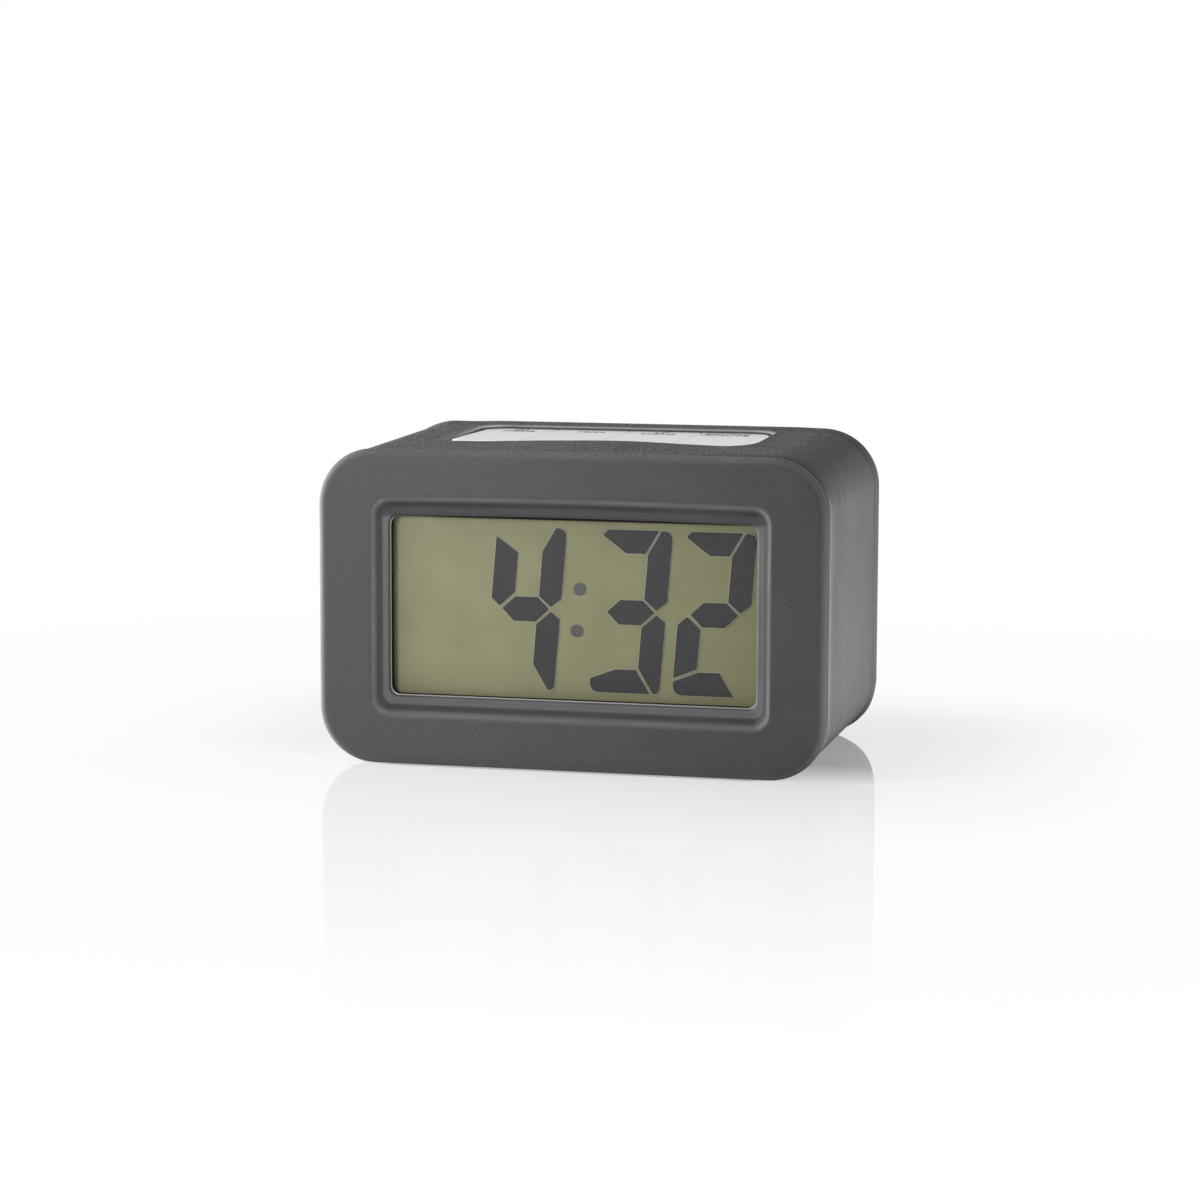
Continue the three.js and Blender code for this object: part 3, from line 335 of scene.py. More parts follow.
# Its layers from the lowest up: a share of its grey, or two and the mask that mixes them, then masks
FRONT_GRAIN = (0.87, 1.15, "fine_grain")
FRONT_LAYERS = (
    # Painted highlight on the outer rounding of the slope round the window, half as strong above and
    # below, weaker at the far right
    (2.6, "slope crest_rise crest_fall crest_facing crest_grain crest_right"),
    # Painted shade in the hollow of the slope round the window
    (0.5, "slope trough_rise trough_fall trough_facing"),
    # Painted light on the shelf at the window's sides and bottom, most at the sides
    (1.85, "slope lower shelf shelf_sides"),
    # Painted shade on the slope above the window
    (0.5, "slope upper shaded"),
    # Light dust on the lip's upward faces, which also serves as a painted highlight along its top
    ((1.3, 2.4, "dust_and_highlight_grain"), "outer lying"),
    # Painted highlight on the lip's left-facing edge
    (2.4, "outer leftward"),
)
BODY_GRAIN = (0.75, 1.15, "coarse_grain")
BODY_LAYERS = (
    (1.35, "streaks"),
    ((0.8, 2.75, "fleck_grain"), "settled above"),
    (3.4, "settled above specks"),
    # Painted highlight on the round edge of the key opening
    (4.2, "rubbed"),
    # Stronger painted highlight along the opening's left side
    (8.0, "rubbed rim_left rim_back"),
    # Painted shade down the wall of the key opening
    (0.25, "wall"),
    # Painted highlight on the upright sides just behind the groove
    (1.9, "upright ledge_rise ledge_fall"),
    # Painted shade in the groove behind the lip
    (0.25, "groove_rise groove_fall"),
    # Painted shade on the top just behind the lip, towards the right
    (0.4, "lee_rise lee_fall lee_right lee_facing"),
    # Painted shade on the upright sides, deepening towards the back
    (0.6, "upright faded"),
)
TOP_LAYERS = (
    # Painted shade on the upright sides from the lip's back edge into the groove
    (0.25, "crease_rise groove_fall outer upright"),
    (0.85, "cloud"),
)

# Display panel and its ink
# Its colours at the top, below and to the right: painted shade makes it darker below and to the right
PANEL_TOP = (0.28, 0.28, 0.175)
PANEL_LOW = (0.27, 0.26, 0.157)
PANEL_RIGHT = (0.202, 0.197, 0.107)
PANEL_RIGHT_SHARES = (0.0, 0.8)
PANEL_CLOUD = (0.2, 0.192, 0.12)
PANEL_CLOUD_SIZE = 9.0
PANEL_CLOUD_SHARES = (0.0, 0.35)
PANEL_ROUGHNESS = 0.55
PANEL_SPECULAR = 0.1
INK_GRAIN = 1.5
INK_SHADES = (0.95, 1.05)
INK_ROUGHNESS = 0.5
INK_SPECULAR = 0.2
LIT_COLOUR = (0.038, 0.038, 0.04)
COLON_COLOUR = (0.09, 0.09, 0.087)
HALO_COLOUR = (0.32, 0.32, 0.235)
LABEL_COLOUR = (0.03, 0.03, 0.03)

# Clear window: its reflection grows over a range of slants
LENS_ROUGHNESS = 0.04
LENS_SLANTS = (0.4, 1.0)
LENS_SHARES = (0.0, 0.3)

# Silver of the keys: its grain on top, and the painted highlight on the edges at the sides and the front
KEY_GRAIN = 0.25
KEY_COLOURS = ((0.645, 0.648, 0.65), (0.705, 0.708, 0.71))
KEY_EDGE_HIGHLIGHT = (0.93, 0.93, 0.93)
KEY_TILT = (0.9, 0.995)
KEY_SIDES = (KEYS_WIDTH / 2 - 1.5, KEYS_WIDTH / 2 - 0.8)
KEY_FRONTS = (KEYS_FRONT + 0.8, KEYS_FRONT + 1.5)
KEY_ROUGHNESS = (0.3, 0.2)
KEY_METALLIC = 0.55
KEY_RELIEF = 0.004

# Bead: glossy light greys as a painted highlight, and painted shade with less gloss along its upper side
BEAD_GRAIN = 0.5
BEAD_HIGHLIGHT_COLOURS = ((0.3, 0.295, 0.29), (0.36, 0.355, 0.35))
BEAD_PAINTED_SHADE = (0.01, 0.01, 0.01)
BEAD_UPPER = (WINDOW_HIGH - 1.0, WINDOW_HIGH)
BEAD_UPPER_SHARES = (0.0, 0.9)
BEAD_ROUGHNESS = (0.2, 0.6)

# Camera, in millimetres, degrees and pixels of the photograph
CAMERA_PLACE = (166.06, -690.80, 123.80)
CAMERA_AZIMUTH = 13.76
CAMERA_ELEVATION = 7.37
CAMERA_ROLL = 0.17
FOCAL_PIXELS = 3336.0
PHOTO_PIXELS = 1200
SHIFT_PIXELS = (-9.23, -0.4)
SENSOR_WIDTH = 36
CLIP_START = 10.0

# Lights, in metres and watts: name, place, target, width and height, power, and whether mirrors show them
LIGHTS = (
    ("left", (-0.8, 0.012, 0.085), (0, 0, 0.04), (0.3, 0.16), 14, False),
    ("front", (-0.07, -0.24, 0.09), (0, 0, 0.03), (0.06, 0.06), 0.27, True),
    ("above", (-0.5, -0.32, 0.56), (0, 0, 0.03), (0.3, 0.3), 2.5, True),
    ("right", (0.8, -0.28, 0.12), (0, 0, 0.04), (0.2, 0.2), 1.1, True),
    ("behind", (0.3, 1.0, 0.12), (0, 0, 0.03), (0.5, 0.2), 3, False),
    ("card", (0.26, 0.045, 0.002), (0.26, 0.045, 1.0), (0.393, 0.2), 1.22, False),
)
WORLD_SHARES = (0.14, 1.0)

# Floor, with masks like the silicone's for its white and its reflections
FLOOR_HALF = 6000.0
FLOOR_COLOUR = (0.92, 0.92, 0.92, 1)
FLOOR_ROUGHNESS = 0.6
FLOOR_GLOSS = 0.03
FLOOR_MASKS = {
    "white": ("away", (0.0, 60.0), (0.76, 1.0)),
    "all_round": ("away", (0.0, 200.0), (0.2, 0.0)),
    "foot": ("away", (0.0, 1.5), (0.5, 0.0)),
    "foot_front": ("depth", (2.0, 4.0), FALL),
    "foot_middle": ("aside", (FRONT_WIDTH / 2 - 16, FRONT_WIDTH / 2 - 9), FALL),
    "beside": ("aside", (FRONT_WIDTH / 2 - 20, FRONT_WIDTH / 2 - 15), RISE),
    "beside_back": ("depth", (-8.0, 22.0), (0.0, 0.6)),
    "beside_near": ("away", (8.0, 50.0), FALL),
}


def back(depth):
    """Y of a depth behind the front face."""
    return depth - DEPTH / 2


# Mesh helpers

def add_object(name, mesh):
    obj = bpy.data.objects.new(name, mesh)
    bpy.context.scene.collection.objects.link(obj)
    return obj


def smooth(obj, degrees=35):
    mesh = obj.data
    mesh.polygons.foreach_set("use_smooth", [True] * len(mesh.polygons))
    mesh.set_sharp_from_angle(angle=math.radians(degrees))
    mesh.update()
    return obj


def rounded_loop(half, low, high, radius, corner=CORNER_STEPS, across=ACROSS_STEPS, up=UP_STEPS):
    """Anticlockwise points of a rounded rectangle, its straight sides divided evenly."""
    right, top, bottom = half - radius, high - radius, low + radius
    middles = ((right, top), (-right, top), (-right, bottom), (right, bottom))
    points = []
    for quarter, (x, y) in enumerate(middles):
        for k in range(corner + 1):
            angle = (quarter + k / corner) * math.pi / 2
            points.append((x + radius * math.cos(angle), y + radius * math.sin(angle)))
        ahead = middles[(quarter + 1) % 4]
        turn = (quarter + 1) * math.pi / 2
        start = points[-1]
        end = (ahead[0] + radius * math.cos(turn), ahead[1] + radius * math.sin(turn))
        steps = across if quarter % 2 == 0 else up
        for k in range(1, steps):
            share = k / steps
            points.append((start[0] + (end[0] - start[0]) * share, start[1] + (end[1] - start[1]) * share))
    return points


def solid(name, points, faces):
    """A closed mesh from points in millimetres."""
    mesh = bpy.data.meshes.new(name)
    mesh.from_pydata([tuple(c * MM for c in point) for point in points], [], faces)
    work = bmesh.new()
    work.from_mesh(mesh)
    bmesh.ops.recalc_face_normals(work, faces=work.faces)
    work.to_mesh(mesh)
    work.free()
    return add_object(name, mesh)


def loft(name, rings, closed=False):
    """Quads through rings of equal count. A closed loft joins its last ring to its first."""
    count = len(rings[0])
    faces = []
    spans = len(rings) if closed else len(rings) - 1
    for r in range(spans):
        a, b = r * count, ((r + 1) % len(rings)) * count
        for i in range(count):
            j = (i + 1) % count
            faces.append((a + i, a + j, b + j, b + i))
    if not closed:
        faces.append(tuple(reversed(range(count))))
        faces.append(tuple(range((len(rings) - 1) * count, len(rings) * count)))
    return solid(name, [point for ring in rings for point in ring], faces)


def evaluated_mesh(obj):
    return bpy.data.meshes.new_from_object(obj.evaluated_get(bpy.context.evaluated_depsgraph_get()))


def apply_modifiers(obj):
    mesh = evaluated_mesh(obj)
    obj.modifiers.clear()
    old = obj.data
    obj.data = mesh
    mesh.name = obj.name
    bpy.data.meshes.remove(old)


def cut(obj, tool):
    """Cuts a tool out of obj, and uses it up."""
    modifier = obj.modifiers.new("cut", "BOOLEAN")
    modifier.object = tool
    modifier.operation = "DIFFERENCE"
    modifier.solver = "EXACT"
    apply_modifiers(obj)
    bpy.data.objects.remove(tool)


def bevelled(node, name, width, segments=3, degrees=30):
    """A copy of a CAD node with its flat faces merged and its edges rounded, which stands for the node."""
    work = bmesh.new()
    work.from_mesh(nodes[node].data)
    bmesh.ops.remove_doubles(work, verts=work.verts, dist=MERGE_REACH * MM)
    bmesh.ops.dissolve_limit(work, angle_limit=math.radians(FLAT_TURN), verts=work.verts, edges=work.edges)
    mesh = bpy.data.meshes.new(name)
    work.to_mesh(mesh)
    work.free()
    obj = add_object(name, mesh)
    modifier = obj.modifiers.new("edges", "BEVEL")
    modifier.width = width * MM
    modifier.segments = segments
    modifier.limit_method = "ANGLE"
    modifier.angle_limit = math.radians(degrees)
    apply_modifiers(obj)
    smooth(obj, SHARP_TURN)
    modifier = obj.modifiers.new("normals", "WEIGHTED_NORMAL")
    modifier.keep_sharp = True
    modifier.weight = NORMAL_WEIGHT
    apply_modifiers(obj)
    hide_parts(node)
    return obj


def arc(steps, start, end):
    """Angles of an arc in even steps, in radians."""
    return [math.radians(start + (end - start) * k / steps) for k in range(steps + 1)]


def ease(value, low, high):
    share = min(max((value - low) / (high - low), 0.0), 1.0)
    return share * share * (3 - 2 * share)


# Materials

def new_material(name):
    material = bpy.data.materials.new(name)
    material.use_nodes = True
    tree = material.node_tree
    return material, tree, tree.nodes["Principled BSDF"]


def add_node(tree, kind, *sockets, **settings):
    """A shader node with its settings made and its first inputs linked."""
    node = tree.nodes.new("ShaderNode" + kind)
    for key, value in settings.items():
        setattr(node, key, value)
    for slot, socket in enumerate(sockets):
        tree.links.new(socket, node.inputs[slot])
    return node


def noise(tree, size, detail=2.0, roughness=0.5, stretch=None):
    """Noise whose features are about the given size, in millimetres, and longer along a squeezed axis."""
    socket = add_node(tree, "TexCoord").outputs["Object"]
    if stretch:
        mapping = add_node(tree, "Mapping", socket)
        mapping.inputs["Scale"].default_value = stretch
        socket = mapping.outputs["Vector"]
    texture = add_node(tree, "TexNoise", socket)
    texture.inputs["Scale"].default_value = 1 / (size * MM)
    texture.inputs["Detail"].default_value = detail
    texture.inputs["Roughness"].default_value = roughness
    return texture.outputs["Fac"]


def metres(*lengths):
    return tuple(length * MM for length in lengths)


def depths(low, high):
    """Two depths behind the front face as Y in metres."""
    return metres(back(low), back(high))


def spread(tree, value, limits, shares=RISE):
    """A value mapped from one range to another and held within it."""
    node = add_node(tree, "MapRange", value)
    for name, number in zip(("From Min", "From Max", "To Min", "To Max"), (*limits, *shares)):
        node.inputs[name].default_value = number
    return node.outputs["Result"]


def mixed(tree, share, first, second, blend="MIX"):
    """A colour between two, each a colour or a socket."""
    node = add_node(tree, "Mix", data_type="RGBA", blend_type=blend)
    if isinstance(share, float):
        node.inputs["Factor"].default_value = share
    else:
        tree.links.new(share, node.inputs["Factor"])
    for socket, colour in ((node.inputs["A"], first), (node.inputs["B"], second)):
        if isinstance(colour, tuple):
            socket.default_value = (*colour, 1)
        else:
            tree.links.new(colour, socket)
    return node.outputs["Result"]


def bump(tree, shader, height, strength, distance):
    node = add_node(tree, "Bump")
    node.inputs["Strength"].default_value = strength
    node.inputs["Distance"].default_value = distance * MM
    tree.links.new(height, node.inputs["Height"])
    tree.links.new(node.outputs["Normal"], shader.inputs["Normal"])


def fill(tree, shader, **values):
    """Sets the shader's inputs: a plain value on the socket itself, or a link."""
    for key, value in values.items():
        socket = shader.inputs[INPUTS[key]]
        if isinstance(value, (float, tuple)):
            socket.default_value = value
        else:
            tree.links.new(value, socket)


def scaled(colour, factor):
    return tuple(c * factor for c in colour)


def speckled(tree, value, colour, shades, limits=GRAIN_RANGE):
    """A colour that goes between two shades of itself with a noise."""
    return mixed(tree, spread(tree, value, limits), *(scaled(colour, shade) for shade in shades))


def grained(name, colour, roughness, grain=0.35, contrast=0.12, relief=0.02, metallic=0.0, specular=0.5):
    """A moulded or plated surface: fine grain in its colour, its gloss and its relief."""
    material, tree, shader = new_material(name)
    fine = noise(tree, grain)
    wide = noise(tree, grain * CLOUD_GRAINS, CLOUD_DETAIL)
    base = speckled(tree, fine, colour, (1 - contrast, 1 + contrast))
    cloud = spread(tree, wide, CLOUD_RANGE, CLOUD_SHARES)
    base = mixed(tree, cloud, base, scaled(colour, 1 - contrast))
    gloss = spread(tree, wide, GRAIN_RANGE, (roughness - GLOSS_CHANGE, roughness + GLOSS_CHANGE))
    fill(tree, shader, base=base, roughness=gloss, metallic=metallic, specular=specular)
    bump(tree, shader, fine, GRAIN_BUMP, relief)
    return material


def coordinate(tree, vector, name):
    return add_node(tree, "SeparateXYZ", vector).outputs[name]


def axis(tree, name):
    """One coordinate of the surface point, in metres."""
    return coordinate(tree, add_node(tree, "TexCoord").outputs["Object"], name)


def facing(tree, name):
    """One coordinate of the surface's normal."""
    return coordinate(tree, add_node(tree, "NewGeometry").outputs["Normal"], name)


def combined(tree, operation, first, second):
    return add_node(tree, "Math", first, second, operation=operation).outputs["Value"]


def times(tree, first, *others):
    for other in others:
        first = combined(tree, "MULTIPLY", first, other)
    return first


def larger(tree, first, *others):
    for other in others:
        first = combined(tree, "MAXIMUM", first, other)
    return first


def distance(tree, value, middle):
    """How far a value lies from a middle, on either side."""
    node = add_node(tree, "Math", value, operation="SUBTRACT")
    node.inputs[1].default_value = middle
    return add_node(tree, "Math", node.outputs["Value"], operation="ABSOLUTE").outputs["Value"]


def rubber_measures(tree):
    """What the silicone's masks go by: places in metres, coordinates of the normal, noises and the painted
    light and shade round the key opening.
    """
    measures = {name: noise(tree, *values) for name, values in RUBBER_NOISES.items()}
    measures.update(across=axis(tree, "X"), depth=axis(tree, "Y"), height=axis(tree, "Z"))
    measures.update(side=facing(tree, "X"), up=facing(tree, "Z"))
    measures["aside"] = distance(tree, measures["across"], 0.0)
    measures["off_middle"] = distance(tree, measures["height"], FLAT_MIDDLE * MM)
    measures["sideways"] = distance(tree, measures["side"], 0.0)
    measures["marks"] = add_node(tree, "Attribute", attribute_name=PAINTED_RIM).outputs["Fac"]
    return measures


def make_masks(tree, measures, table):
    """Masks by name from a table, whose limits of length are in millimetres."""
    masks = {}
    for name, (measure, limits, shares) in table.items():
        if measure == "depth":
            limits = depths(*limits)
        elif measure in LENGTHS:
            limits = metres(*limits)
        masks[name] = spread(tree, measures[measure], limits, shares)
    return masks


def product(tree, masks, names):
    return times(tree, *(masks[name] for name in names.split()))


def silicone(name):
    """Moulded rubber: satin on the front and its lip, matte and dusty on the body behind, with painted
    highlights and painted shade.
    """
    material, tree, shader = new_material(name)
    measures = rubber_measures(tree)
    masks = make_masks(tree, measures, MASKS)
    masks["outer"] = larger(tree, masks["beside"], masks["over"])
    masks["slope"] = spread(tree, masks["outer"], RISE, FALL)

    def shade(value):
        if isinstance(value, float):
            return scaled(RUBBER_GREY, value)
        low, high, grain = value
        return mixed(tree, masks[grain], scaled(RUBBER_GREY, low), scaled(RUBBER_GREY, high))

    def layered(colour, layers):
        for value, names in layers:
            colour = mixed(tree, product(tree, masks, names), colour, shade(value))
        return colour

    front = shade(FRONT_GRAIN)
    # The flat front face is darkened, more towards the right: painted shade
    worn = mixed(tree, 1.0, front, PAINTED_FACE_SHADE_TINT, "MULTIPLY")
    front = layered(mixed(tree, product(tree, masks, "flat worn"), front, worn), FRONT_LAYERS)
    behind = layered(shade(BODY_GRAIN), BODY_LAYERS)
    body = product(tree, masks, "outer body")
    base = layered(mixed(tree, body, front, behind), TOP_LAYERS)
    gloss = spread(tree, body, RISE, RUBBER_ROUGHNESS)
    fill(tree, shader, base=base, roughness=gloss, specular=RUBBER_SPECULAR)
    bump(tree, shader, measures["fine"], RUBBER_BUMP, RUBBER_RELIEF)
    return material


def display_panel(name):
    """Grey-green reflective display, cloudy, with painted shade: slightly darker below and to the right.
    """
    material, tree, shader = new_material(name)
    height = spread(tree, axis(tree, "Z"), metres(WINDOW_LOW, WINDOW_HIGH), FALL)
    span = metres(-WINDOW_WIDTH / 2, WINDOW_WIDTH / 2)
    across = spread(tree, axis(tree, "X"), span, PANEL_RIGHT_SHARES)
    base = mixed(tree, across, mixed(tree, height, PANEL_TOP, PANEL_LOW), PANEL_RIGHT)
    cloud = spread(tree, noise(tree, PANEL_CLOUD_SIZE), CLOUD_RANGE, PANEL_CLOUD_SHARES)
    base = mixed(tree, cloud, base, PANEL_CLOUD)
    fill(tree, shader, base=base, roughness=PANEL_ROUGHNESS, specular=PANEL_SPECULAR)
    return material


def mix_shaders(tree, share, first, second):
    return add_node(tree, "MixShader", share, first, second).outputs["Shader"]


def clear_plastic(name):
    """A clear window: what is behind shows, with a reflection that grows at a slant."""
    material, tree, shader = new_material(name)
    fill(tree, shader, base=(1, 1, 1, 1), metallic=1.0, roughness=LENS_ROUGHNESS)
    clear = add_node(tree, "BsdfTransparent")
    slant = add_node(tree, "LayerWeight")
    share = spread(tree, slant.outputs["Facing"], LENS_SLANTS, LENS_SHARES)
    surface = mix_shaders(tree, share, clear.outputs["BSDF"], shader.outputs["BSDF"])
    tree.links.new(surface, tree.nodes["Material Output"].inputs["Surface"])
    return material


def ink(name, colour):
    material, tree, shader = new_material(name)
    base = speckled(tree, noise(tree, INK_GRAIN), colour, INK_SHADES, CLOUD_RANGE)
    fill(tree, shader, base=base, roughness=INK_ROUGHNESS, specular=INK_SPECULAR)
    return material


def plated(name):
    """Silver-painted caps: fine grain on the flat top, and smoother edges lightened as a painted
    highlight.
    """
    material, tree, shader = new_material(name)
    fine = noise(tree, KEY_GRAIN)
    top = mixed(tree, spread(tree, fine, GRAIN_RANGE), *KEY_COLOURS)
    tilt = spread(tree, facing(tree, "Z"), KEY_TILT, FALL)
    beside = spread(tree, distance(tree, axis(tree, "X"), 0.0), metres(*KEY_SIDES))
    ahead = spread(tree, axis(tree, "Y"), depths(*KEY_FRONTS), FALL)
    edge = times(tree, tilt, larger(tree, beside, ahead))
    base = mixed(tree, edge, top, KEY_EDGE_HIGHLIGHT)
    fill(tree, shader, base=base, roughness=spread(tree, edge, RISE, KEY_ROUGHNESS), metallic=KEY_METALLIC)
    bump(tree, shader, fine, GRAIN_BUMP, KEY_RELIEF)
    return material


def polished_edge(name):
    """The case's glossy window edge, light grey as a painted highlight, with painted shade and less gloss
    along the top.
    """
    material, tree, shader = new_material(name)
    bright = mixed(tree, spread(tree, noise(tree, BEAD_GRAIN), GRAIN_RANGE), *BEAD_HIGHLIGHT_COLOURS)
    upper = spread(tree, axis(tree, "Z"), metres(*BEAD_UPPER), BEAD_UPPER_SHARES)
    base = mixed(tree, upper, bright, BEAD_PAINTED_SHADE)
    fill(tree, shader, base=base, roughness=spread(tree, upper, RISE, BEAD_ROUGHNESS))
    return material


materials = {}
for finish, (colour, roughness, grain) in FINISHES.items():
    materials[finish] = grained(finish, colour, roughness, **grain)
materials["sleeve_rubber"] = silicone("silicone")
materials["window_clear"] = clear_plastic("window_clear")
materials["display_glass"] = display_panel("display_panel")
materials["key_silver"] = plated("key_silver")
materials["polished"] = polished_edge("polished_edge")
materials["label_ink"] = ink("label_ink", LABEL_COLOUR)
node_slots = {part["node"]: part["material_slot"] for part in frame["record"]["subparts"]}


def dress(obj, slot, body="clock_body", material=None):
    obj.data.materials.clear()
    obj.data.materials.append(material or materials[slot])
    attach(obj, body)
    return obj


for node, obj in nodes.items():
    if not obj.material_slots:
        obj.data.materials.append(None)
    for held in obj.material_slots:
        held.link = "OBJECT"
        held.material = materials[node_slots[node]]


# Rubber sleeve

def outline(depth, inset):
    """The clock's outline at a depth, drawn in by an inset."""
    share = depth / DEPTH
    half = (FRONT_WIDTH + GROWTH_WIDTH * share) / 2 - inset
    top = FRONT_HEIGHT + GROWTH_HEIGHT * share - inset
    radius = FRONT_CORNER + GROWTH_CORNER * share - inset
    return [(x, back(depth), z) for x, z in rounded_loop(half, inset, top, radius)]


def window_ring(margin, depth):
    """A loop round the window, its upper edge slightly bowed up and its margin smaller at the sides."""
    share = max((margin - INNER_MARGIN) / (REVEAL_MARGIN - INNER_MARGIN), 0)
    radius = WINDOW_CORNER + INNER_MARGIN + share ** 2 * REVEAL_CORNER
    half = WINDOW_WIDTH / 2 + margin * SIDE_SHARE
    ring = []
    for x, z in rounded_loop(half, WINDOW_LOW - margin, WINDOW_HIGH + margin, radius):
        rise = ease(z, WINDOW_LOW, WINDOW_HIGH) * (1 - (x / half) ** 2)
        ring.append((x, back(depth), z + WINDOW_BOW * rise))
    return ring


def reveal_profile():
    """Margin and depth pairs from the window's inner edge up the shelf and slope to the front face."""
    points = [(INNER_MARGIN, SLEEVE_FRONT), (INNER_MARGIN, REVEAL_DEPTH + INNER_ROUND)]
    for turn in arc(SMALL_STEPS, 0, 90)[1:]:
        step = INNER_ROUND * (1 - math.cos(turn))
        points.append((INNER_MARGIN + step, REVEAL_DEPTH + INNER_ROUND * (1 - math.sin(turn))))
    for k in range(REVEAL_STEPS + 1):
        margin = SHELF_MARGIN + (REVEAL_MARGIN - SHELF_MARGIN) * k / REVEAL_STEPS
        points.append((margin, REVEAL_DEPTH * (1 - ease(margin, SHELF_MARGIN, REVEAL_MARGIN))))
    points.append((REVEAL_MARGIN + SUPPORT, 0))
    return points


def skin_profile():
    """Inset and depth pairs from the front face over the lip, groove, body and rim to the cavity."""
    points = [(LIP_ROUND + step, 0) for step in FACE_SUPPORTS]
    for turn in arc(LIP_STEPS, 0, 90):
        points.append((LIP_ROUND * (1 - math.sin(turn)), LIP_ROUND_DEPTH * (1 - math.cos(turn))))
    points += [(inset, LIP_DEPTH + depth) for inset, depth in LIP_TURN]
    points += [(GROOVE_INSET + inset, GROOVE_DEPTH + depth) for inset, depth in GROOVE_TURN]
    points += [(BODY_INSET + inset, BODY_START + depth) for inset, depth in BODY_TURN]
    for k in range(1, BODY_STEPS + 1):
        points.append((BODY_INSET, BODY_START + (FLARE_START - BODY_START) * k / BODY_STEPS))
    for k in range(1, ROUND_STEPS + 1):
        depth = FLARE_START + (FLARE_END - FLARE_START) * k / ROUND_STEPS
        points.append((BODY_INSET * (1 - ease(depth, FLARE_START, FLARE_END)), depth))
    points.append((0, DEPTH - RIM_ROUND - SUPPORT))
    for turn in arc(LIP_STEPS, 0, 90):
        points.append((RIM_ROUND * (1 - math.cos(turn)), DEPTH - RIM_ROUND * (1 - math.sin(turn))))
    points.append((RIM_ROUND + SUPPORT, DEPTH))
    for turn in arc(SMALL_STEPS, 0, 90):
        inset = RETURN_INSET - RETURN_ROUND * (1 - math.sin(turn))
        points.append((inset, DEPTH - RETURN_ROUND * (1 - math.cos(turn))))
    points += [(RETURN_INSET, SLEEVE_BACK), (CAVITY_INSET, SLEEVE_BACK)]
    for k in range(1, BODY_STEPS + 1):
        points.append((CAVITY_INSET, SLEEVE_BACK + (SLEEVE_FRONT - SLEEVE_BACK) * k / BODY_STEPS))
    return points


def key_loop(left, right, first, last, margin):
    """Plan of one cap: round corners at the row's ends, small ones at the seams, and notches behind."""
    front, rear = KEYS_FRONT - margin, KEYS_BACK + margin
    end, tip = KEYS_CORNER + margin, KEYS_CORNER_TIP + margin
    seam = max(KEY_SEAM_CORNER + margin, KEY_LEAST_CORNER)
    notch = max(KEY_NOTCH + margin, KEY_LEAST_CORNER)
    left -= margin if first else margin * SEAM_SHARE
    right += margin if last else margin * SEAM_SHARE
    corners = (
        (right, rear, end if last else notch, 0),
        (left, rear, end if first else notch, 90),
        (left, front, tip if first else seam, 180),
        (right, front, end if last else seam, 270),
    )
    points = []
    for x, y, radius, start in corners:
        middle_x = x - math.copysign(radius, math.cos(math.radians(start + 45)))
        middle_y = y - math.copysign(radius, math.sin(math.radians(start + 45)))
        for turn in arc(CORNER_STEPS, start, start + 90):
            points.append((middle_x + radius * math.cos(turn), middle_y + radius * math.sin(turn)))
    return points


def divided(loop, step):
    """The loop with points added along its longer sides."""
    points = []
    for i, (x, y) in enumerate(loop):
        ahead_x, ahead_y = loop[(i + 1) % len(loop)]
        count = max(round(math.dist((x, y), (ahead_x, ahead_y)) / step), 1)
        points += [(x + (ahead_x - x) * k / count, y + (ahead_y - y) * k / count) for k in range(count)]
    return points


def key_opening():
    """The cutter for the key opening: straight walls and a rounded upper edge along the sloping top."""
    middle = (KEYS_FRONT + KEYS_BACK) / 2
    profile = [(0, -CAVITY_INSET - CUT_OVERRUN), (0, -RUBBER_EDGE)]
    for turn in arc(ROUND_STEPS, 0, 90)[1:]:
        profile.append((RUBBER_EDGE * (1 - math.cos(turn)), -RUBBER_EDGE * (1 - math.sin(turn))))
    profile.append((RUBBER_EDGE, CUT_OVERRUN))
    rings = []
    for margin, height in profile:
        loop = key_loop(-KEYS_WIDTH / 2, KEYS_WIDTH / 2, True, True, RUBBER_RIM + margin)
        rings.append([(x, depth - middle, height) for x, depth in divided(loop, RUBBER_STEP)])
    cutter = loft("key_opening", rings)
    share = middle / DEPTH
    top = FRONT_HEIGHT + GROWTH_HEIGHT * share - BODY_INSET
    slope = Matrix.Rotation(math.atan2(GROWTH_HEIGHT, DEPTH), 4, "X")
    cutter.data.transform(Matrix.Translation((0, back(middle) * MM, top * MM)) @ slope)
    return cutter


def swell_corner(point):
    """Fills out the back rim's two lower corners, where the rubber bulges over the case."""
    radius = FRONT_CORNER + GROWTH_CORNER
    middle = Vector(((FRONT_WIDTH + GROWTH_WIDTH) / 2 - radius, radius)) * MM
    spoke = Vector((abs(point.x), point.z)) - middle
    if spoke.x < 0 or spoke.y > 0:
        return
    turn = math.degrees(math.atan2(-spoke.y, spoke.x))
    reach = max(1 - ((turn - CORNER_SWELL_TURN) / CORNER_SWELL_HALF) ** 2, 0) ** 2
    swell = CORNER_SWELL * MM * reach * ease(point.y / MM + DEPTH / 2, FLARE_START, FLARE_END)
    out = spoke.normalized() * swell
    point.x += math.copysign(out.x, point.x)
    point.z += out.y


def opening_margin(point):
    """How far outside the walls of the key opening a point of the sleeve lies, seen from above."""
    middle = (KEYS_FRONT + KEYS_BACK) / 2
    ahead = middle - point.y / MM - DEPTH / 2
    corner = KEYS_CORNER_TIP if point.x < 0 < ahead else KEYS_CORNER
    across = abs(point.x / MM) - KEYS_WIDTH / 2 + corner
    along = abs(ahead) - (KEYS_BACK - KEYS_FRONT) / 2 + corner
    reach = math.hypot(max(across, 0), max(along, 0)) + min(max(across, along), 0)
    return reach - corner - RUBBER_RIM


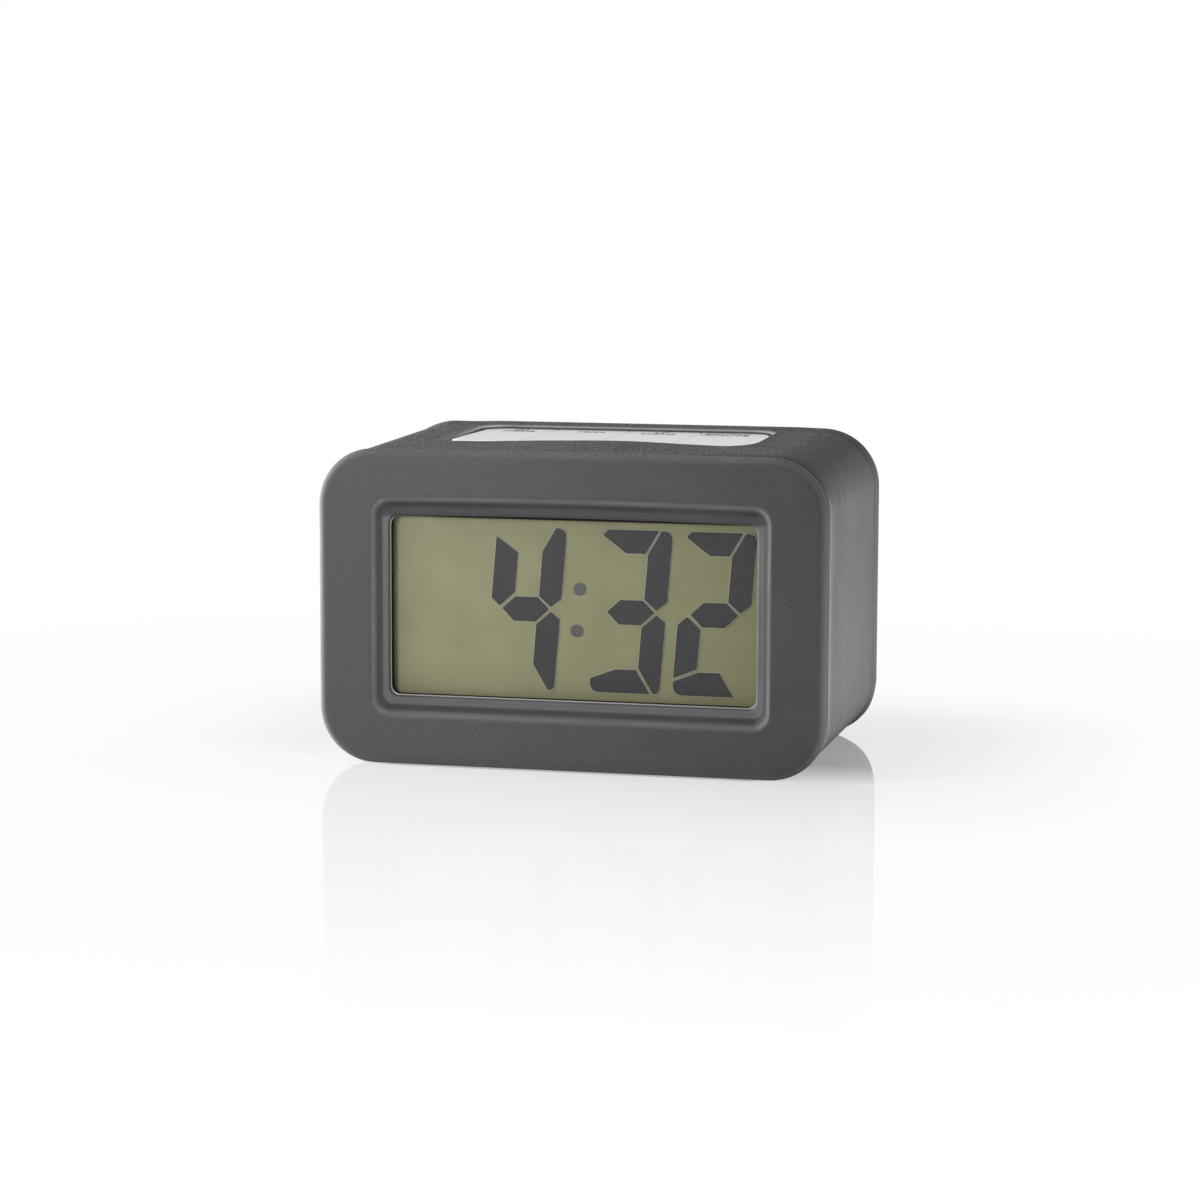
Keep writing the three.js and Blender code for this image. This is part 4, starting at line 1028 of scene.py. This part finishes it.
def paint_rim_light_and_shade(sleeve):
    """Marks the edge of the key opening: 1 for a painted highlight on its round edge, 0 for painted shade
    down its wall, plain elsewhere.
    """
    marks = []
    for vertex in sleeve.data.vertices:
        margin = opening_margin(vertex.co)
        mark = ease(margin, 0.0, PAINTED_RIM_RISE * RUBBER_EDGE)
        mark -= (1 - PAINTED_RIM_PLAIN) * ease(margin, PAINTED_RIM_FALL * RUBBER_EDGE, RUBBER_EDGE)
        upper = vertex.co.z / MM > FRONT_HEIGHT - RUBBER_EDGE - PAINTED_RIM_BELOW
        marks.append(mark if upper else PAINTED_RIM_PLAIN)
    sleeve.data.attributes.new(PAINTED_RIM, "FLOAT", "POINT").data.foreach_set("value", marks)


def make_sleeve():
    rings = [window_ring(*point) for point in reveal_profile()]
    skin = [outline(depth, inset) for inset, depth in skin_profile()]
    edge = rings[-1]
    for k in range(1, FACE_STEPS):
        rings.append([tuple(Vector(p).lerp(q, k / FACE_STEPS)) for p, q in zip(edge, skin[0])])
    rings += skin
    sleeve = loft("sleeve", rings, closed=True)
    cut(sleeve, key_opening())
    for vertex in sleeve.data.vertices:
        x, depth, z = vertex.co.x / MM, vertex.co.y / MM + DEPTH / 2, vertex.co.z / MM
        if z < FRONT_HEIGHT - TOP_BAND:
            continue
        for middle, start, half_width, half_length, height in SWELLINGS:
            reach = ((x - middle) / half_width) ** 2 + ((depth - start) / half_length) ** 2
            vertex.co.z += height * MM * max(1 - reach, 0) ** 2
        margin = opening_margin(vertex.co)
        if margin < RUBBER_EDGE + TOLERANCE:
            vertex.co.z += RUBBER_RAISE * MM * ease(margin, 0.0, RUBBER_EDGE)
    for vertex in sleeve.data.vertices:
        swell_corner(vertex.co)
    paint_rim_light_and_shade(sleeve)
    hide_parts("silicone_sleeve")
    return dress(smooth(sleeve, SHARP_TURN), "sleeve_rubber")


make_sleeve()


# Bead of the window: a painted highlight round its edge

def make_bead():
    rings = []
    for turn in arc(BEAD_STEPS, 0, 360)[:-1]:
        margin = BEAD_MARGIN + BEAD_RADIUS * math.cos(turn)
        rings.append(window_ring(margin, BEAD_DEPTH + BEAD_RADIUS * math.sin(turn)))
    bead = smooth(loft("window_bead", rings, closed=True))
    dress(bead, "case_plastic", material=materials["polished"])


make_bead()


# Case

def make_case():
    front_case = bevelled("front_housing", "front_case", FRONT_EDGE, FRONT_EDGE_STEPS, FRONT_EDGE_TURN)
    dress(front_case, "case_plastic", material=materials["window_black"])
    dress(bevelled("rear_housing", "rear_case", CASE_EDGE), "case_plastic")
    dress(bevelled("battery_door", "battery_cover", CASE_EDGE), "case_plastic", "door")
    for i in range(1, SCREW_COUNT + 1):
        screw = bevelled(f"housing_screw_{i}", f"case_screw_{i}", SCREW_EDGE, SCREW_EDGE_STEPS)
        dress(screw, "steel")


make_case()


# Battery cells

def turned(name, profile, foot, side):
    """A piece turned about the cell's axis from pairs of radius and reach from the cell's foot."""
    turns = arc(CELL_STEPS, 0, 360)[:-1]
    rings = []
    for radius, reach in profile:
        x = foot.x + side * reach
        rings.append([(x, foot.y + radius * math.cos(t), foot.z + radius * math.sin(t)) for t in turns])
    return smooth(loft(name, rings), CELL_SHARP_TURN)


def make_cell(row, side):
    """A plain cell: a coloured skin rolled over at both ends, a foot plate and a nub of bare metal."""
    low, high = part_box(f"battery_{row}")
    radius, length = (high.z - low.z) / 2 / MM, (high.x - low.x) / MM
    middle = (low + high) / 2 / MM
    foot = Vector((middle.x - side * length / 2, middle.y, middle.z))
    shoulder = length - NUB_LENGTH
    inner = radius - CELL_CRIMP
    skin = [(inner, CELL_RECESS)]
    for turn in arc(CURVE_STEPS, 0, 90):
        skin.append((radius - CELL_EDGE * (1 - math.sin(turn)), CELL_EDGE * (1 - math.cos(turn))))
    skin += [(r, shoulder - reach) for r, reach in reversed(skin)]
    skin_piece = turned(f"cell_{row}", skin, foot, side)
    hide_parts(f"battery_{row}")
    dress(skin_piece, "cell_skin")
    plate = [(inner + step, reach) for step, reach in CELL_FOOT]
    dress(turned(f"cell_{row}_foot", plate, foot, side), "steel")
    nub = [(inner + step, shoulder + reach) for step, reach in CELL_SHOULDER]
    nub += [(NUB_RADIUS + NUB_FILLET, shoulder), (NUB_RADIUS, shoulder + NUB_FILLET)]
    nub += [(NUB_RADIUS, length - NUB_EDGE), (NUB_RADIUS - NUB_EDGE, length)]
    dress(turned(f"cell_{row}_nub", nub, foot, side), "steel")


make_cell("upper", 1)
make_cell("lower", -1)


# Keys

key_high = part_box("top_key_1")[1]


def make_key(i):
    width = (KEYS_WIDTH - (KEY_COUNT - 1) * KEY_GAP) / KEY_COUNT
    first, last = i == 0, i == KEY_COUNT - 1
    left = -KEYS_WIDTH / 2 + i * (width + KEY_GAP)
    right = left + width
    closing = (KEY_GAP - KEY_SEAM) / 2
    left -= 0 if first else closing
    right += 0 if last else closing
    top = key_high.z / MM + KEY_LIFT[i]
    profile = [(-KEY_SKIRT_INSET, top - KEY_SKIRT), (-KEY_SKIRT_INSET, top - KEY_WALL)]
    profile += [(0, top - KEY_WALL), (0, top - KEY_ROUND - KEY_WALL_SUPPORT)]
    for turn in arc(ROUND_STEPS, 0, 90):
        profile.append((-KEY_ROUND * (1 - math.cos(turn)), top - KEY_ROUND * (1 - math.sin(turn))))
    profile.append((-KEY_ROUND - KEY_TOP_SUPPORT, top))
    rings = []
    for margin, height in profile:
        loop = key_loop(left, right, first, last, margin)
        rings.append([(x, back(y), height) for x, y in loop])
    cap = loft(f"key_cap_{i + 1}", rings)
    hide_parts(f"top_key_{i + 1}")
    dress(smooth(cap, SHARP_TURN), "key_silver", f"key_{i + 1}")
    return top


def make_label(i, top):
    """Plain lettering printed on a key."""
    text = bpy.data.curves.new(f"key_label_{i + 1}", "FONT")
    text.body = LABELS[i]
    text.size = LABEL_SIZE * MM
    text.align_x = "CENTER"
    text.align_y = "CENTER"
    text.space_line = LABEL_SPACING
    text.extrude = LABEL_THICK * MM / 2
    work = add_object("label_text", text)
    mesh = evaluated_mesh(work)
    bpy.data.objects.remove(work)
    reach = max(v.co.x for v in mesh.vertices) - min(v.co.x for v in mesh.vertices)
    mesh.transform(Matrix.Diagonal((LABEL_WIDTHS[i] * MM / reach, 1, 1, 1)))
    mesh.transform(Matrix.Translation(Vector((LABEL_X[i], back(LABEL_DEPTH), top + LABEL_THICK / 2)) * MM))
    mesh.name = f"key_label_{i + 1}"
    dress(add_object(mesh.name, mesh), "key_silver", f"key_{i + 1}", materials["label_ink"])


for number in range(KEY_COUNT):
    make_label(number, make_key(number))


# Display

def rounded_corners(corners):
    """Replaces each corner that has a reach by a curve between its two sides."""
    result = []
    for i, (x, y, reach) in enumerate(corners):
        here = Vector((x, y))
        if not reach:
            result.append(here)
            continue
        before = Vector(corners[i - 1][:2]) - here
        after = Vector(corners[(i + 1) % len(corners)][:2]) - here
        start = here + before.normalized() * reach
        end = here + after.normalized() * reach
        for k in range(CURVE_STEPS + 1):
            t = k / CURVE_STEPS
            result.append(start * (1 - t) ** 2 + here * (2 * t * (1 - t)) + end * t ** 2)
    return result


def grown(points, margin):
    """The outline moved outwards by a margin, its corners kept sharp."""
    area = sum(points[i - 1].cross(p) for i, p in enumerate(points))
    side = math.copysign(1, area)
    result = []
    for i, p in enumerate(points):
        first = (p - points[i - 1]).normalized()
        second = (points[(i + 1) % len(points)] - p).normalized()
        out_first = Vector((first.y, -first.x)) * side
        out_second = Vector((second.y, -second.x)) * side
        corner = out_first + out_second
        result.append(p + corner * (margin / max(corner.dot(out_first), HALO_SHARPEST)))
    return result


def slanted(points, middle):
    """Digit points in place on the display."""
    return [(middle + p.x + DIGIT_SLANT * p.y, DIGIT_MIDDLE + p.y) for p in points]


glass_low, glass_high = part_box("lcd_front_glass")


def make_panel():
    """The display's reflective panel, its face set back so that the segments stand in front of it."""
    middle, half = (glass_low + glass_high) / 2 / MM, (glass_high - glass_low) / 2 / MM
    front, rear = glass_low.y / MM + PANEL_RECESS, glass_high.y / MM
    rings = []
    near, far = front + PANEL_EDGE, rear - PANEL_EDGE
    for inset, y in ((PANEL_EDGE, rear), (0, far), (0, near), (PANEL_EDGE, front)):
        low, high = middle.z - half.z + inset, middle.z + half.z - inset
        loop = rounded_loop(half.x - inset, low, high, PANEL_CORNER, *PANEL_STEPS)
        rings.append([(x, y, z) for x, z in loop])
    plate = loft("display_panel", rings)
    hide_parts("lcd_front_glass")
    return dress(plate, "display_glass")


def inked(name, loops, lift, material):
    """Thin plates of ink, one for each loop, lifted off the panel."""
    points, faces = [], []
    far = glass_low.y / MM + PANEL_RECESS - lift
    for loop in loops:
        start, count = len(points), len(loop)
        points += [(x, y, z) for y in (far, far - INK_THICK) for x, z in loop]
        faces.append(tuple(range(start, start + count)))
        faces.append(tuple(reversed(range(start + count, start + 2 * count))))
        for i in range(count):
            j = (i + 1) % count
            faces.append((start + i, start + count + i, start + count + j, start + j))
    return dress(solid(name, points, faces), "display_glass", material=material)


def colon_loop(side, radius):
    height = side * COLON_RISE
    middle = COLON_X + DIGIT_SLANT * height
    centre = DIGIT_MIDDLE + height
    turns = arc(COLON_STEPS, 0, COLON_TURN)
    return [(middle + radius * math.cos(t), centre + radius * math.sin(t)) for t in turns]


def make_digits():
    lit = ink("segment_lit", LIT_COLOUR)
    soft = ink("segment_soft", COLON_COLOUR)
    halo = ink("segment_halo", HALO_COLOUR)
    outlines = {key: rounded_corners(corners) for key, corners in SEGMENTS.items()}
    for name, middle, keys in DIGITS:
        inked(f"digit_{name}", [slanted(outlines[k], middle) for k in keys], INK_LIFT, lit)
        wider = [slanted(grown(outlines[k], HALO_MARGIN), middle) for k in keys]
        inked(f"halo_{name}", wider, HALO_LIFT, halo)
    inked("colon", [colon_loop(side, COLON_RADIUS) for side in (-1, 1)], INK_LIFT, soft)


make_panel()
make_digits()


# Stage, light and camera

def make_camera():
    turn, lift = math.radians(CAMERA_AZIMUTH), math.radians(CAMERA_ELEVATION)
    behind = Vector((math.sin(turn) * math.cos(lift), -math.cos(turn) * math.cos(lift), math.sin(lift)))
    right = Vector((math.cos(turn), math.sin(turn), 0))
    up = behind.cross(right)
    basis = Matrix((right, up, behind)).transposed().to_4x4()
    data = bpy.data.cameras.new("camera")
    data.sensor_width = SENSOR_WIDTH
    data.lens = FOCAL_PIXELS * SENSOR_WIDTH / PHOTO_PIXELS
    data.shift_x = -SHIFT_PIXELS[0] / PHOTO_PIXELS
    data.shift_y = SHIFT_PIXELS[1] / PHOTO_PIXELS
    data.clip_start = CLIP_START * MM
    camera = add_object("camera", data)
    roll = Matrix.Rotation(math.radians(CAMERA_ROLL), 4, "Z")
    camera.matrix_world = Matrix.Translation(Vector(CAMERA_PLACE) * MM) @ basis @ roll
    bpy.context.scene.camera = camera


def make_light(name, place, target, size, power, mirrored):
    data = bpy.data.lights.new(name, "AREA")
    data.shape = "RECTANGLE"
    data.size, data.size_y = size
    data.energy = power
    light = add_object(name, data)
    light.location = place
    light.rotation_euler = (Vector(target) - Vector(place)).to_track_quat("-Z", "Y").to_euler()
    light.visible_camera = False
    light.visible_glossy = mirrored


def seen_directly(tree):
    """1 for rays from the camera, mirrors and glass, and 0 for the rays that light surfaces."""
    path = add_node(tree, "LightPath")
    rays = ("Is Camera Ray", "Is Glossy Ray", "Is Transmission Ray")
    return larger(tree, *(path.outputs[name] for name in rays))


def make_world():
    world = bpy.data.worlds.new("studio")
    bpy.context.scene.world = world
    world.use_nodes = True
    tree = world.node_tree
    background = tree.nodes["Background"]
    strength = spread(tree, seen_directly(tree), RISE, WORLD_SHARES)
    background.inputs["Color"].default_value = (1, 1, 1, 1)
    tree.links.new(strength, background.inputs["Strength"])


def outside(tree):
    """Distance of a floor point from the clock's footprint."""
    socket = add_node(tree, "TexCoord").outputs["Object"]
    reach = (FRONT_WIDTH / 2 * MM, DEPTH / 2 * MM, 1.0)
    steps = (("ABSOLUTE", None), ("SUBTRACT", reach), ("MAXIMUM", (0.0, 0.0, 0.0)), ("LENGTH", None))
    for operation, operand in steps:
        node = add_node(tree, "VectorMath", socket, operation=operation)
        if operand:
            node.inputs[1].default_value = operand
        socket = node.outputs["Value" if operation == "LENGTH" else "Vector"]
    return socket


def floor_material():
    """White table: its own shade near the clock, plain white further off, and fading reflections."""
    material, tree, shader = new_material("floor")
    fill(tree, shader, base=FLOOR_COLOUR, roughness=FLOOR_ROUGHNESS, specular=0.0)
    measures = {"away": outside(tree), "depth": axis(tree, "Y")}
    measures["aside"] = distance(tree, axis(tree, "X"), 0.0)
    masks = make_masks(tree, measures, FLOOR_MASKS)
    direct = times(tree, masks["white"], seen_directly(tree))
    white = add_node(tree, "Emission")
    lit = mix_shaders(tree, direct, shader.outputs["BSDF"], white.outputs["Emission"])
    mirror = add_node(tree, "BsdfGlossy")
    mirror.inputs["Roughness"].default_value = FLOOR_GLOSS
    foot = product(tree, masks, "foot foot_front foot_middle")
    beside = product(tree, masks, "beside beside_back beside_near")
    share = larger(tree, masks["all_round"], foot, beside)
    surface = mix_shaders(tree, share, lit, mirror.outputs["BSDF"])
    tree.links.new(surface, tree.nodes["Material Output"].inputs["Surface"])
    return material


def make_floor():
    half = FLOOR_HALF * MM
    mesh = bpy.data.meshes.new("floor")
    corners = [(-half, -half, 0), (half, -half, 0), (half, half, 0), (-half, half, 0)]
    mesh.from_pydata(corners, [], [(0, 1, 2, 3)])
    floor = add_object("floor", mesh)
    mesh.materials.append(floor_material())


make_camera()
make_world()
make_floor()
for light in LIGHTS:
    make_light(*light)
bpy.context.scene.view_settings.view_transform = "Standard"
